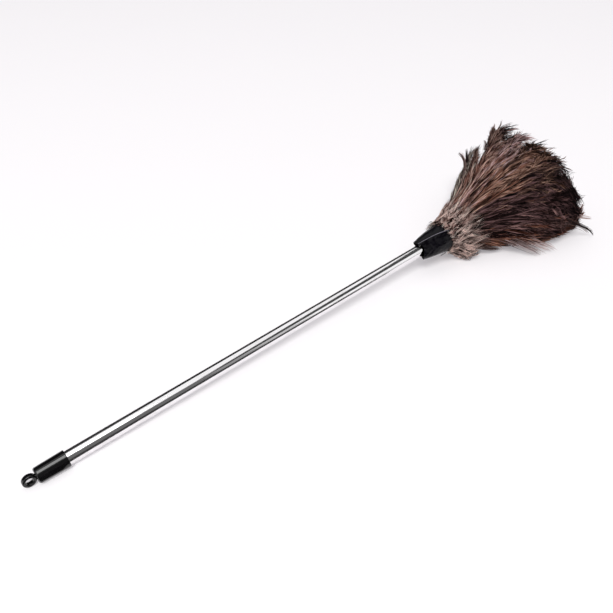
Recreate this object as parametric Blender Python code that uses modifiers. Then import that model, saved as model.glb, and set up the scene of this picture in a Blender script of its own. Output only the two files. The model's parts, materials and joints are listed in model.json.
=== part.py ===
"""Ostrich feather duster: a steel tube with a hanging cap, and a bound head of plumes in a flared cuff.

Metres, +Z up. It lies on a floor at z = 0 with its pole along +X. The head rests on its own plumes, so
the pole rises a little towards it.
"""

import math

import bmesh
import bpy
from mathutils import Vector

# Clearances
SEAT_GAP = 0.0003
CUTTER_OVERRUN = 0.002

# How the duster lies
LIE_ANGLE = math.radians(3.0)

# Handle tube, polished stainless steel
TUBE_RADIUS = 0.011
TUBE_WALL = 0.0006
TUBE_BARE = 0.698
TUBE_IN_CUFF = 0.018

# End cap with its eyelet, moulded plastic
CAP_LENGTH = 0.046
CAP_RIM_WALL = 0.00175
CAP_TAPER = 0.00095
CAP_FLOOR = 0.0022
CAP_SHOULDER = 0.003
CAP_RIM_ROUND = 0.0006
EYELET_RADIUS = 0.0102
EYELET_HOLE_RADIUS = 0.0057
EYELET_THICKNESS = 0.0078
EYELET_ROUND = 0.0009
EYELET_SUNK = 0.0004
NECK_WIDTH = 0.009
NECK_THICKNESS = 0.0054
NECK_IN_CAP = 0.0014
NECK_IN_EYELET = 0.0022
NECK_ROUND = 0.0008

# Wooden core in the tube's far end, and the nail that holds it
CORE_IN_TUBE = 0.045
CORE_PAST_WIRE = 0.0015
CORE_EDGE = 0.001
NAIL_PLACE = 0.008
NAIL_RADIUS = 0.0008
NAIL_LENGTH = 0.014
NAIL_POINT = 0.002
NAIL_HEAD_RADIUS = 0.002
NAIL_HEAD_HEIGHT = 0.0008

# Quills and what binds them, with places measured from the cuff's rim
QUILL_RADIUS = 0.0012
FIRST_ROW_START = 0.020
ROW_STEP = 0.0113
THREAD_LEAD = 0.002
THREAD_LENGTH = 0.017
THREAD_THICKNESS = 0.0007
WIRE_LEAD = 0.004
WIRE_RADIUS = 0.0004
WIRE_PITCH = 0.0013
WIRE_TURNS = 5
WIRE_POINTS = 24

# Cuff, a leathercloth strip lapped into a flared cone
CUFF_LENGTH = 0.0675
CUFF_WALL = 0.001
CUFF_RIM_CLEARANCE = 0.0058
CUFF_FLARE_POWER = 1.0
RIM_SLANT = 0.018
RIM_SLANT_ANGLE = math.radians(311.0)
RIM_SLANT_POWER = 1.58
LAP_EDGE_ANGLE = math.radians(103.0)
LAP_ANGLE = math.radians(25.0)
LAP_HOLD_ANGLE = math.radians(6.0)
LAP_RAMP_ANGLE = math.radians(24.0)
LAP_CLEARANCE = 0.0005

# Spread of the head, seen along the pole, at its fullest
HEAD_LEFT = 0.127
HEAD_RIGHT = 0.140
HEAD_UP = 0.118
HEAD_REACH = 0.430
SPREAD_LENGTH = 0.220
SPREAD_BLEND = 0.045
SPREAD_EARLY_SHARE = 0.25
FLOOR_POWER = 6
SQUARE_POWER = 2.3
FLATTEN_POWER = 5.0
PLUME_CLEARANCE = 0.0017

# Vanes
VANE_OPENING = 0.033
VANE_THICKNESS = 0.0022
TIP_THICKNESS = 0.001
VANE_OVERLAP_SHARE = 0.8
VANE_ARCH_SHARE = 0.05
TIP_START_SHARE = 0.6
TIP_WIDTH_SHARE = 0.12
CURL_START_SHARE = 0.7
FIRST_ANGLE_SHARE = 0.75
ANGLE_JITTER_SHARE = 0.09

# Each row's name, its depth in the head, how far its vanes lean like roof tiles, and for each plume, counted
# from the left side over the top, how far its tip reaches and how much that tip curls outwards.
ROW_SHARES = (
    ("inner", 0.28, 0.16, ((0.98, 0), (0.96, 0), (0.92, 0), (0.97, 0), (1.0, 0), (0.98, 0))),
    (
        "second", 0.50, 0.12,
        (
            (0.92, 0), (0.93, 0), (0.91, 0), (0.85, 0), (0.85, 0),
            (0.92, 0), (0.95, 0), (0.94, 0), (0.95, 0), (0.93, 0),
        ),
    ),
    (
        "third", 0.72, 0.09,
        (
            (0.80, 0), (0.84, 0), (0.85, 0), (0.82, 0), (0.80, 0), (0.78, 0), (0.82, 0),
            (0.86, 0), (0.88, 0), (0.90, 0), (0.88, 0), (0.90, 0), (0.88, 0), (0.84, 0),
        ),
    ),
    (
        "outer", 0.93, 0.075,
        (
            (0.66, 0.10), (0.61, 0.05), (0.74, 0.22), (0.76, 0.03), (0.73, 0), (0.74, 0),
            (0.69, 0), (0.75, 0), (0.77, 0), (0.82, 0), (0.90, 0), (0.88, 0),
            (0.84, 0), (0.83, 0), (0.84, 0), (0.83, 0), (0.80, 0), (0.70, 0),
        ),
    ),
)
LAST_ROW = len(ROW_SHARES) - 1

# Places of the loft's sections, from the end of the opening to the tip
SECTION_SHARES = (0.18, 0.36, 0.54, 0.70, 0.82, 0.91, 0.97, 1.0)

ROUND_STEPS = 48
BAND_STEPS = 32
SHARP_ANGLE = math.radians(40.0)

# Sizes that follow from those above
BORE_RADIUS = TUBE_RADIUS + SEAT_GAP
CAP_RIM_RADIUS = BORE_RADIUS + CAP_RIM_WALL
CAP_END_RADIUS = CAP_RIM_RADIUS - CAP_TAPER
EYELET_PLACE = EYELET_SUNK - CAP_LENGTH - EYELET_RADIUS
CORE_RADIUS = TUBE_RADIUS - TUBE_WALL - SEAT_GAP
ROW_PITCH = 2 * QUILL_RADIUS + THREAD_THICKNESS + 2 * SEAT_GAP
WIRE_START = FIRST_ROW_START + LAST_ROW * ROW_STEP + WIRE_LEAD
WIRE_END = WIRE_START + WIRE_TURNS * WIRE_PITCH
AXIS_HEIGHT = max(EYELET_RADIUS - EYELET_PLACE * math.sin(LIE_ANGLE), CAP_RIM_RADIUS)


def row_start(row):
    """Where a row's quills begin, from the cuff's rim."""
    return FIRST_ROW_START + row * ROW_STEP


def quill_circle(row):
    """Radius of the circle on which a row's quills lie where they are bound."""
    return CORE_RADIUS + SEAT_GAP + QUILL_RADIUS + row * ROW_PITCH


WIRE_INSIDE = quill_circle(LAST_ROW) + QUILL_RADIUS + SEAT_GAP
WIRE_CIRCLE = (WIRE_INSIDE + WIRE_RADIUS) / math.cos(math.pi / WIRE_POINTS)
CUFF_RIM_INNER = TUBE_RADIUS + CUFF_RIM_CLEARANCE
CUFF_SEAT_INNER = WIRE_CIRCLE + WIRE_RADIUS + SEAT_GAP
CUFF_FLARE = (CUFF_SEAT_INNER - CUFF_RIM_INNER) / (WIRE_START / CUFF_LENGTH) ** CUFF_FLARE_POWER


def cuff_inner_radius(place):
    """Inner radius of the cuff at a distance from its rim."""
    return CUFF_RIM_INNER + CUFF_FLARE * (place / CUFF_LENGTH) ** CUFF_FLARE_POWER


MOUTH_RADIUS = cuff_inner_radius(CUFF_LENGTH) - PLUME_CLEARANCE


def smooth(share):
    """An S-curve from 0 to 1."""
    share = min(max(share, 0.0), 1.0)
    return share * share * (3 - 2 * share)


def mix(a, b, share):
    return a + (b - a) * share


def swell(place):
    """How much of its full spread the head has at a distance from the cuff's rim."""
    along = min(max((place - CUFF_LENGTH) / SPREAD_LENGTH, 0.0), 1.0)
    return mix(smooth(along), along, SPREAD_EARLY_SHARE)


def head_radius(place, angle):
    """Radius of the head's outline: round above, and below pressed flat by the floor."""
    share = swell(place)
    across, up = math.cos(angle), math.sin(angle)
    width = mix(MOUTH_RADIUS, HEAD_LEFT if across > 0 else HEAD_RIGHT, share)
    height = mix(MOUTH_RADIUS, HEAD_UP, share)
    power = mix(2.0, SQUARE_POWER, share)
    if up < 0:
        to_floor = (AXIS_HEIGHT + (TUBE_BARE + place) * math.sin(LIE_ANGLE)) / math.cos(LIE_ANGLE)
        height = (height**-FLOOR_POWER + to_floor**-FLOOR_POWER) ** (-1 / FLOOR_POWER)
        power = mix(2.0, FLATTEN_POWER, share)
    return (abs(across / width) ** power + abs(up / height) ** power) ** (-1 / power)


def row_radius(row, place, angle):
    """Radius of the surface in which a row's plumes lie."""
    depth_share = ROW_SHARES[row][1]
    bound = quill_circle(row)
    spread = depth_share * head_radius(place, angle)
    return mix(bound, spread, smooth((place - WIRE_END) / SPREAD_BLEND))


def plume_section(row, number, place, tip):
    """One section of a plume, a ring of eight points: a round quill that opens into a thin arched vane."""
    _, _, lean_share, plumes = ROW_SHARES[row]
    sector = 2 * math.pi / len(plumes)
    jitter = ANGLE_JITTER_SHARE * math.sin(1.3 * number + 2.1 * row + 0.7)
    angle = sector * (number + FIRST_ANGLE_SHARE + jitter)
    reach = (place - CUFF_LENGTH) / (tip - CUFF_LENGTH)
    opened = smooth((place - CUFF_LENGTH) / VANE_OPENING)
    past_full = max(reach - TIP_START_SHARE, 0.0) / (1 - TIP_START_SHARE)
    roundness = mix(TIP_WIDTH_SHARE, 1.0, math.sqrt(max(1 - past_full * past_full, 0.0)))
    half_width = VANE_OVERLAP_SHARE * sector * roundness
    half_thickness = mix(VANE_THICKNESS, TIP_THICKNESS, max(reach, 0.0)) / 2
    curl_share = plumes[number][1]
    curl = 1 + curl_share * (max(reach - CURL_START_SHARE, 0.0) / (1 - CURL_START_SHARE)) ** 2
    ring = []
    for corner in range(8):
        turn = math.pi / 4 * corner
        side, face = math.sin(turn), math.cos(turn)
        across = 2 / math.pi * math.asin(side)
        quill_angle = QUILL_RADIUS * side / quill_circle(row)
        here = angle + mix(quill_angle, half_width * across, opened)
        tilt = 1 + opened * (lean_share * across - VANE_ARCH_SHARE * across * across)
        radius = row_radius(row, place, here) * tilt * curl
        radius += face * mix(QUILL_RADIUS, half_thickness, opened)
        ring.append(Vector((place, radius * math.cos(here), radius * math.sin(here))))
    return ring


def plume_places(row, tip):
    """Distances from the cuff's rim at which a plume's sections stand."""
    opened = CUFF_LENGTH + VANE_OPENING
    places = [row_start(row), WIRE_END, CUFF_LENGTH, (CUFF_LENGTH + opened) / 2, opened]
    places += [mix(opened, tip, share) for share in SECTION_SHARES]
    return places


def new_material(name, colour, roughness, metallic=0.0):
    material = bpy.data.materials.new(name)
    material.use_nodes = True
    shader = material.node_tree.nodes["Principled BSDF"]
    shader.inputs["Base Color"].default_value = (*colour, 1.0)
    shader.inputs["Roughness"].default_value = roughness
    shader.inputs["Metallic"].default_value = metallic
    return material


def new_object(name, data, material=None, parent=None, collection=None):
    item = bpy.data.objects.new(name, data)
    (collection or PARTS).objects.link(item)
    item.parent = parent
    if material:
        data.materials.append(material)
    return item


def new_empty(name, parent=None, place=(0, 0, 0)):
    empty = new_object(name, None, parent=parent)
    empty.location = place
    return empty


def mesh_from(bm, name):
    """A mesh shaded smooth, with its hard edges kept."""
    mesh = bpy.data.meshes.new(name)
    bm.to_mesh(mesh)
    bm.free()
    if mesh.polygons:
        mesh.shade_smooth()
        mesh.set_sharp_from_angle(angle=SHARP_ANGLE)
    return mesh


def arc(centre, radius, start, end, steps=4):
    """Points of an arc in a profile, as (radius from the axis, height)."""
    angles = [mix(start, end, step / steps) for step in range(steps + 1)]
    return [(centre[0] + radius * math.cos(a), centre[1] + radius * math.sin(a)) for a in angles]


def turned(name, profile, material, parent, closed=True, steps=ROUND_STEPS, collection=None):
    """A profile in the XZ plane, turned round Z by a Screw modifier."""
    bm = bmesh.new()
    verts = [bm.verts.new((radius, 0, height)) for radius, height in profile]
    for start, end in zip(verts, verts[1:]):
        bm.edges.new((start, end))
    if closed:
        bm.edges.new((verts[-1], verts[0]))
    item = new_object(name, mesh_from(bm, name), material, parent, collection)
    screw = item.modifiers.new("Turn", "SCREW")
    screw.axis = "Z"
    screw.steps = screw.render_steps = steps
    screw.use_merge_vertices = True
    screw.merge_threshold = 0.00001
    screw.use_smooth_shade = True
    return item


def along_pole(item, place=0.0):
    """Turns a piece made round Z so that it lies along the pole."""
    item.rotation_euler = (0, math.pi / 2, 0)
    item.location.x = place


def combine(item, other, operation):
    boolean = item.modifiers.new(operation.title(), "BOOLEAN")
    boolean.operation = operation
    boolean.object = other
    other.hide_render = True
    other.display_type = "WIRE"


def band_profile(inner, outer, start, end):
    """The outline of a plain ring's wall, from its outer edge down."""
    return [(outer, end), (outer, start), (inner, start), (inner, end)]


def make_handle_tube(parent, material):
    inner = TUBE_RADIUS - TUBE_WALL
    near = SEAT_GAP + CAP_FLOOR - CAP_LENGTH
    far = TUBE_BARE + TUBE_IN_CUFF
    tube = turned("handle_tube", band_profile(inner, TUBE_RADIUS, near, far), material, parent)
    along_pole(tube)
    return tube


def make_end_cap(parent, material):
    """The sleeve over the tube's end, its rounded shoulder, and the hanging eyelet on a short neck."""
    floor = CAP_FLOOR - CAP_LENGTH
    profile = [(0, floor), (BORE_RADIUS, floor), (BORE_RADIUS, 0)]
    rim_centre = (CAP_RIM_RADIUS - CAP_RIM_ROUND, -CAP_RIM_ROUND)
    profile += arc(rim_centre, CAP_RIM_ROUND, math.pi / 2, 0)
    shoulder_centre = (CAP_END_RADIUS - CAP_SHOULDER, CAP_SHOULDER - CAP_LENGTH)
    profile += arc(shoulder_centre, CAP_SHOULDER, 0, -math.pi / 2, 6)
    profile.append((0, -CAP_LENGTH))
    cap = turned("end_cap", profile, material, parent, closed=False)
    along_pole(cap)

    half = EYELET_THICKNESS / 2
    outside, inside = EYELET_RADIUS - EYELET_ROUND, EYELET_HOLE_RADIUS + EYELET_ROUND
    profile = arc((outside, half - EYELET_ROUND), EYELET_ROUND, math.pi / 2, 0)
    profile += arc((outside, EYELET_ROUND - half), EYELET_ROUND, 0, -math.pi / 2)
    profile += arc((inside, EYELET_ROUND - half), EYELET_ROUND, -math.pi / 2, -math.pi)
    profile += arc((inside, half - EYELET_ROUND), EYELET_ROUND, math.pi, math.pi / 2)
    eyelet = turned("eyelet_shape", profile, None, parent, steps=36, collection=SHAPES)
    eyelet.rotation_euler = (math.pi / 2, 0, 0)
    eyelet.location.x = EYELET_PLACE

    bm = bmesh.new()
    bmesh.ops.create_cube(bm, size=1)
    neck_start = EYELET_PLACE + EYELET_RADIUS - NECK_IN_EYELET
    neck_end = NECK_IN_CAP - CAP_LENGTH
    bmesh.ops.scale(bm, vec=(neck_end - neck_start, NECK_THICKNESS, NECK_WIDTH), verts=bm.verts)
    neck = new_object("neck_shape", mesh_from(bm, "neck_shape"), None, parent, SHAPES)
    neck.location.x = (neck_start + neck_end) / 2
    bevel = neck.modifiers.new("Round", "BEVEL")
    bevel.width = NECK_ROUND
    bevel.segments = 2
    combine(cap, eyelet, "UNION")
    combine(cap, neck, "UNION")
    return cap


def make_core_and_nail(parent, tube, wood, steel):
    """The dowel plugged into the tube, and the nail driven through both."""
    far = WIRE_END + CORE_PAST_WIRE
    profile = [(0, far), (CORE_RADIUS - CORE_EDGE, far), (CORE_RADIUS, far - CORE_EDGE)]
    profile += [(CORE_RADIUS, -CORE_IN_TUBE), (0, -CORE_IN_TUBE)]
    core = turned("wood_core", profile, wood, parent, closed=False)
    along_pole(core)

    head_seat = TUBE_RADIUS + SEAT_GAP
    top = head_seat + NAIL_HEAD_HEIGHT
    point = head_seat - NAIL_LENGTH
    profile = [(0, top), (NAIL_HEAD_RADIUS, top), (NAIL_HEAD_RADIUS, head_seat), (NAIL_RADIUS, head_seat)]
    profile += [(NAIL_RADIUS, point + NAIL_POINT), (0, point)]
    nail = turned("core_nail", profile, steel, parent, closed=False, steps=16)
    nail.location.x = NAIL_PLACE

    hole_radius = NAIL_RADIUS + SEAT_GAP
    hole_bottom = point - SEAT_GAP
    hole_top = TUBE_RADIUS + CUTTER_OVERRUN
    profile = [(0, hole_top), (hole_radius, hole_top), (hole_radius, hole_bottom), (0, hole_bottom)]
    hole = turned("nail_hole", profile, None, parent, closed=False, steps=16, collection=SHAPES)
    hole.location.x = NAIL_PLACE
    combine(core, hole, "DIFFERENCE")
    combine(tube, hole, "DIFFERENCE")


def make_thread_bindings(parent, material):
    """A band of wound thread over each row of quills but the last, on which the next row lies."""
    for row in range(LAST_ROW):
        inner = quill_circle(row) + QUILL_RADIUS + SEAT_GAP
        start = row_start(row) + THREAD_LEAD
        profile = band_profile(inner, inner + THREAD_THICKNESS, start, start + THREAD_LENGTH)
        band = turned(f"thread_binding_{row + 1}", profile, material, parent, steps=BAND_STEPS)
        along_pole(band)


def wire_points():
    """The wire's helix round the last row of quills."""
    points = []
    for step in range(WIRE_TURNS * WIRE_POINTS + 1):
        turns = step / WIRE_POINTS
        angle = 2 * math.pi * turns
        place = WIRE_START + turns * WIRE_PITCH
        points.append(Vector((place, WIRE_CIRCLE * math.cos(angle), WIRE_CIRCLE * math.sin(angle))))
    return points


def least_gap(points, radius, apart):
    """The least clear space between stretches of a tube that are at least so many points apart."""
    pairs = (
        (points[i] - points[j]).length
        for i in range(len(points))
        for j in range(i + apart, len(points))
    )
    return min(pairs) - 2 * radius


def make_binding_wire(parent, material):
    points = wire_points()
    curve = bpy.data.curves.new("binding_wire", "CURVE")
    curve.dimensions = "3D"
    curve.bevel_depth = WIRE_RADIUS
    curve.bevel_resolution = 1
    curve.use_fill_caps = True
    spline = curve.splines.new("POLY")
    spline.points.add(len(points) - 1)
    for point, place in zip(spline.points, points):
        point.co = (*place, 1)
    new_object("binding_wire", curve, material, parent)
    gap = least_gap(points, WIRE_RADIUS, WIRE_POINTS // 2)
    print("binding_wire: least gap to itself", round(gap, 5), "m")


def make_cuff(parent, material):
    """A grid rolled into a flared cone, whose outer end rises over its inner end at the lap."""
    bm = bmesh.new()
    bmesh.ops.create_grid(bm, x_segments=56, y_segments=8, size=0.5)
    for vert in bm.verts:
        turn = (vert.co.x + 0.5) * (2 * math.pi + LAP_ANGLE)
        angle = LAP_EDGE_ANGLE + turn
        rim = RIM_SLANT * ((1 + math.cos(angle - RIM_SLANT_ANGLE)) / 2) ** RIM_SLANT_POWER
        place = mix(rim, CUFF_LENGTH, vert.co.y + 0.5)
        sinking = smooth((turn - LAP_ANGLE - LAP_HOLD_ANGLE) / LAP_RAMP_ANGLE)
        radius = cuff_inner_radius(place) + (1 - sinking) * (CUFF_WALL + LAP_CLEARANCE)
        vert.co = (place, radius * math.cos(angle), radius * math.sin(angle))
    cuff = new_object("cuff", mesh_from(bm, "cuff"), material, parent)
    wall = cuff.modifiers.new("Wall", "SOLIDIFY")
    wall.thickness = CUFF_WALL
    wall.offset = 1.0
    return cuff


def join_sections(bm, near, far):
    """Triangles between two rings, cut along the same diagonals on the vane's outer and inner face.

    The faces are twisted, so unlike diagonals would let a thin vane's two faces pass through each other.
    """
    for corner in range(len(near)):
        after = (corner + 1) % len(near)
        on_outer_face = math.cos(2 * math.pi * (corner + 0.5) / len(near)) > 0
        if on_outer_face:
            bm.faces.new((near[corner], near[after], far[after]))
            bm.faces.new((near[corner], far[after], far[corner]))
        else:
            bm.faces.new((near[corner], near[after], far[corner]))
            bm.faces.new((near[after], far[after], far[corner]))


def make_plume(row, number, parent, material):
    """A loft through the plume's sections, closed at both ends."""
    name, _, _, plumes = ROW_SHARES[row]
    tip = plumes[number][0] * HEAD_REACH
    bm = bmesh.new()
    rings = []
    for place in plume_places(row, tip):
        rings.append([bm.verts.new(point) for point in plume_section(row, number, place, tip)])
    for near, far in zip(rings, rings[1:]):
        join_sections(bm, near, far)
    bm.faces.new(reversed(rings[0]))
    bm.faces.new(rings[-1])
    bmesh.ops.recalc_face_normals(bm, faces=bm.faces)
    label = f"plume_{name}_{number + 1:02d}"
    new_object(label, mesh_from(bm, label), material, parent)


def make_plumes(parent, material):
    for row, (_, _, _, plumes) in enumerate(ROW_SHARES):
        for number in range(len(plumes)):
            make_plume(row, number, parent, material)


def lowest_and_highest(items):
    """The corners of the box round these objects, as evaluated, in world space."""
    graph = bpy.context.evaluated_depsgraph_get()
    points = []
    for item in items:
        shown = item.evaluated_get(graph)
        mesh = shown.to_mesh()
        points += [shown.matrix_world @ vert.co for vert in mesh.vertices]
        shown.to_mesh_clear()
    low = Vector(min(point[axis] for point in points) for axis in range(3))
    high = Vector(max(point[axis] for point in points) for axis in range(3))
    return low, high


def set_on_floor(root):
    """Moves the whole so that its box stands on z = 0, centred on the origin."""
    bpy.context.view_layer.update()
    solids = [item for item in PARTS.objects if item.type != "EMPTY"]
    low, high = lowest_and_highest(solids)
    middle = (low + high) / 2
    root.location -= Vector((middle.x, middle.y, low.z))
    bpy.context.view_layer.update()
    print("pole axis passes", [round(value, 6) for value in root.matrix_world.translation])
    print("eyelet centre", [round(value, 6) for value in root.matrix_world @ Vector((EYELET_PLACE, 0, 0))])


def main():
    steel = new_material("polished_steel", (0.72, 0.72, 0.73), 0.12, 1.0)
    plastic = new_material("black_plastic", (0.012, 0.012, 0.013), 0.22)
    leathercloth = new_material("black_leathercloth", (0.015, 0.014, 0.016), 0.3)
    wood = new_material("beech", (0.55, 0.38, 0.22), 0.6)
    thread = new_material("waxed_thread", (0.62, 0.55, 0.42), 0.8)
    wire = new_material("binding_steel", (0.5, 0.5, 0.5), 0.35, 1.0)
    plume = new_material("ostrich_plume", (0.16, 0.11, 0.09), 0.75)

    root = new_empty("duster_root")
    root.rotation_euler = (0, -LIE_ANGLE, 0)
    root.location.z = AXIS_HEIGHT
    head = new_empty("head_root", root, (TUBE_BARE, 0, 0))

    tube = make_handle_tube(root, steel)
    make_end_cap(root, plastic)
    make_core_and_nail(head, tube, wood, wire)
    make_thread_bindings(head, thread)
    make_binding_wire(head, wire)
    make_cuff(head, leathercloth)
    make_plumes(head, plume)
    set_on_floor(root)


for old in list(bpy.data.objects):
    bpy.data.objects.remove(old, do_unlink=True)
PARTS = bpy.data.collections.new("feather_duster")
SHAPES = bpy.data.collections.new("cutters_and_joined_shapes")
bpy.context.scene.collection.children.link(PARTS)
bpy.context.scene.collection.children.link(SHAPES)
main()
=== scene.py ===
# %% [markdown]
# # An ostrich feather duster
#
# The real tool is a long steel tube with a plastic hanging cap at one end and a bound head of
# ostrich plumes at the other. Its quills are tied to a wooden core, and a lapped cone of black
# leathercloth hides the binding. This lesson dresses the measured model of it: first the camera
# and the studio, then the hard pieces, then the plumes, strand by strand.

# %% Load the measured model
import json
import math

import bmesh
import bpy
import numpy as np
from mathutils import Matrix, Vector


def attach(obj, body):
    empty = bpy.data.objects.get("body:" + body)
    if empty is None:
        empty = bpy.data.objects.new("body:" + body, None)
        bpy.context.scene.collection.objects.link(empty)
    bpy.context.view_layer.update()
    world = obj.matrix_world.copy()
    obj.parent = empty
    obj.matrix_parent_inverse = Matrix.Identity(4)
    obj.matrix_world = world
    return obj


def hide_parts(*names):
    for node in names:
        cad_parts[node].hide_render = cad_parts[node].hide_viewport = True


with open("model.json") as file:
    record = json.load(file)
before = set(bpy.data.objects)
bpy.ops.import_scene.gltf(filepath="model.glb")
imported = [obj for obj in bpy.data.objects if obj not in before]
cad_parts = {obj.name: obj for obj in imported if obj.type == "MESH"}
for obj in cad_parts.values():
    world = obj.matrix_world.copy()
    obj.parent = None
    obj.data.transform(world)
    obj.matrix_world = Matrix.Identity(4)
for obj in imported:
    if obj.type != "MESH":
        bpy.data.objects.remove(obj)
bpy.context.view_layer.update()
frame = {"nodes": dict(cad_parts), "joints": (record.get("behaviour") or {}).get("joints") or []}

# %% [markdown]
# ## The pole's own frame
#
# The duster lies on the floor with its pole rising a little towards the head. Shaping a tube along
# a slanted line is awkward, so every piece of it is shaped along plain X, with X = 0 at the cap's
# rim, and is laid on the pole afterwards. The cap turns about the pole, so the joint of the
# measured model already holds both the rim's centre and the pole's direction.

# %% Find the pole
CAP_TWIST = frame["joints"][0]
RIM_CENTRE = Vector(CAP_TWIST["pos_m"])
POLE_ALONG = Vector(CAP_TWIST["axis"]).normalized()
POLE_SIDE = Vector((0, 1, 0))
POLE_AXES = (POLE_ALONG, POLE_SIDE, POLE_ALONG.cross(POLE_SIDE))
POLE_FRAME = Matrix.Translation(RIM_CENTRE) @ Matrix(POLE_AXES).transposed().to_4x4()
LIE_ANGLE = math.asin(POLE_ALONG.z)
print("the pole rises", round(math.degrees(LIE_ANGLE), 2), "degrees from", tuple(RIM_CENTRE))

# %% [markdown]
# ## The camera
#
# The photograph looks down on the duster from the cap's side, so the pole runs from the lower left
# to the upper right. The camera is given by where it stands, the compass direction that it faces,
# and how far it looks down. Its lens decides how much closer things grow.

# %% Place the camera
CAMERA_PLACE = (-0.66880, -0.68594, 0.79817)
CAMERA_YAW, CAMERA_DOWN = math.radians(50.336), math.radians(39.545)
CAMERA_LENS_MM, SENSOR_MM, NEAREST_SEEN_M = 41.163, 36.0, 0.01


def add_object(name, data):
    """Puts new data into the scene as an object."""
    added = bpy.data.objects.new(name, data)
    bpy.context.scene.collection.objects.link(added)
    return added


camera = add_object("photo_camera", bpy.data.cameras.new("photo_camera"))
camera.location = CAMERA_PLACE
camera.rotation_euler = (math.pi / 2 - CAMERA_DOWN, 0, CAMERA_YAW - math.pi / 2)
camera.data.lens = CAMERA_LENS_MM
camera.data.sensor_width = SENSOR_MM
camera.data.clip_start = NEAREST_SEEN_M
bpy.context.scene.camera = camera
bpy.context.scene.view_settings.view_transform = "Standard"
print("camera stands at", CAMERA_PLACE)

# %% [markdown]
# ## Small helpers
#
# Operators act on whatever is selected, and the loaded model arrives selected, so each step starts
# by selecting nothing. Inside edit mode a face or an edge is chosen by where it is, which is what a
# click does by hand.

# %% Helpers for modelling with operators
ALONG_X = (0, math.pi / 2, 0)


def start_clean():
    """Leaves edit mode and selects nothing."""
    if bpy.context.mode != "OBJECT":
        bpy.ops.object.mode_set(mode="OBJECT")
    bpy.ops.object.select_all(action="DESELECT")


def take(piece):
    """Makes one piece the only one selected."""
    start_clean()
    piece.select_set(True)
    bpy.context.view_layer.objects.active = piece
    return piece


def just_added(name):
    """Names the primitive that was added last."""
    piece = bpy.context.active_object
    piece.name = piece.data.name = name
    return take(piece)


def cylinder(name, sides, radius, length, place, turn=ALONG_X, ends="NGON"):
    start_clean()
    bpy.ops.mesh.primitive_cylinder_add(
        vertices=sides, radius=radius, depth=length, end_fill_type=ends, location=place, rotation=turn
    )
    return just_added(name)


def pick(piece, kind, wanted):
    """Goes into edit mode and selects only the edges or faces that pass a test."""
    bpy.ops.object.mode_set(mode="EDIT")
    bpy.ops.mesh.select_mode(type=kind)
    bpy.ops.mesh.select_all(action="DESELECT")
    mesh = bmesh.from_edit_mesh(piece.data)
    for element in {"EDGE": mesh.edges, "FACE": mesh.faces}[kind]:
        if wanted(element):
            element.select_set(True)
    mesh.select_flush_mode()
    bmesh.update_edit_mesh(piece.data)


def apply_place(piece):
    """Writes a piece's own place, turn and scale into its mesh."""
    take(piece)
    bpy.ops.object.transform_apply(location=True, rotation=True, scale=True)
    return piece


def apply_modifier(piece, kind, **settings):
    """Adds a modifier with these settings and applies it."""
    take(piece)
    modifier = piece.modifiers.new(kind.title(), kind)
    for name, value in settings.items():
        setattr(modifier, name, value)
    bpy.ops.object.modifier_apply(modifier=modifier.name)


def lay_on_pole(piece, smooth_below):
    """Moves a piece that was shaped along X onto the pole, and smooths edges below an angle."""
    apply_place(piece)
    piece.matrix_world = POLE_FRAME
    apply_place(piece)
    bpy.ops.object.shade_smooth_by_angle(angle=math.radians(smooth_below))
    return piece


def dress(piece, material, body, slot, *nodes):
    """Gives a finished piece its material, its body and the measured nodes that it stands for."""
    piece.data.materials.clear()
    piece.data.materials.append(material)
    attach(piece, body)
    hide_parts(*nodes)
    start_clean()
    print(piece.name, "has", len(piece.data.polygons), "faces and rides on", body)


# %% [markdown]
# ## Node helpers
#
# A material is a small graph. These helpers add a node, feed its inputs and give back its result in
# one line, so that each finish below reads as a recipe.

# %% Helpers for materials


def paint(red, green, blue):
    """A colour given as a screen shows it, 0 to 255, in the linear values that shading needs."""
    shown = (red, green, blue)
    linear = (((value / 255 + 0.055) / 1.055) ** 2.4 if value > 10 else value / 3294 for value in shown)
    return (*linear, 1.0)


def node(tree, kind, **settings):
    made = tree.nodes.new("ShaderNode" + kind)
    for name, value in settings.items():
        setattr(made, name, value)
    return made


def feed(tree, made, sources):
    """Links sockets to a node's inputs, or sets the inputs to plain values."""
    for key, source in sources.items():
        if isinstance(source, bpy.types.NodeSocket):
            tree.links.new(source, made.inputs[key])
        else:
            made.inputs[key].default_value = source
    return made


def wire(tree, made, *in_order, **by_name):
    """Feeds inputs in their order, or by their names with _ for a space."""
    named = {name.replace("_", " "): source for name, source in by_name.items()}
    return feed(tree, made, {**dict(enumerate(in_order)), **named})


def combine(tree, operation, first, second):
    return wire(tree, node(tree, "Math", operation=operation), first, second).outputs[0]


def add_mask(tree, value, mask, amount):
    return combine(tree, "ADD", value, combine(tree, "MULTIPLY", mask, amount))


def remap(tree, value, low, high, to_low, to_high, kind="LINEAR"):
    ramp = node(tree, "MapRange", interpolation_type=kind)
    return wire(tree, ramp, value, low, high, to_low, to_high).outputs[0]


def blend(tree, share, first, second):
    """Two colours mixed by a share. The node keeps its colours in its sockets 6, 7 and 2."""
    mixer = node(tree, "Mix", data_type="RGBA")
    return feed(tree, mixer, {0: share, 6: first, 7: second}).outputs[2]


def coordinates(tree, kind="Object"):
    return node(tree, "TexCoord").outputs[kind]


def noise(tree, place, scale, detail=4.0, roughness=0.55):
    texture = node(tree, "TexNoise")
    return wire(tree, texture, Vector=place, Scale=scale, Detail=detail, Roughness=roughness).outputs["Fac"]


def pole_coordinates(tree, stretch=(1.0, 1.0, 1.0)):
    """Object coordinates turned so that X runs along the pole, then stretched."""
    turned = node(tree, "Mapping", vector_type="TEXTURE")
    wire(tree, turned, Vector=coordinates(tree), Location=RIM_CENTRE, Rotation=(0, -LIE_ANGLE, 0))
    return wire(tree, node(tree, "Mapping"), Vector=turned.outputs[0], Scale=stretch).outputs[0]


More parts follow.
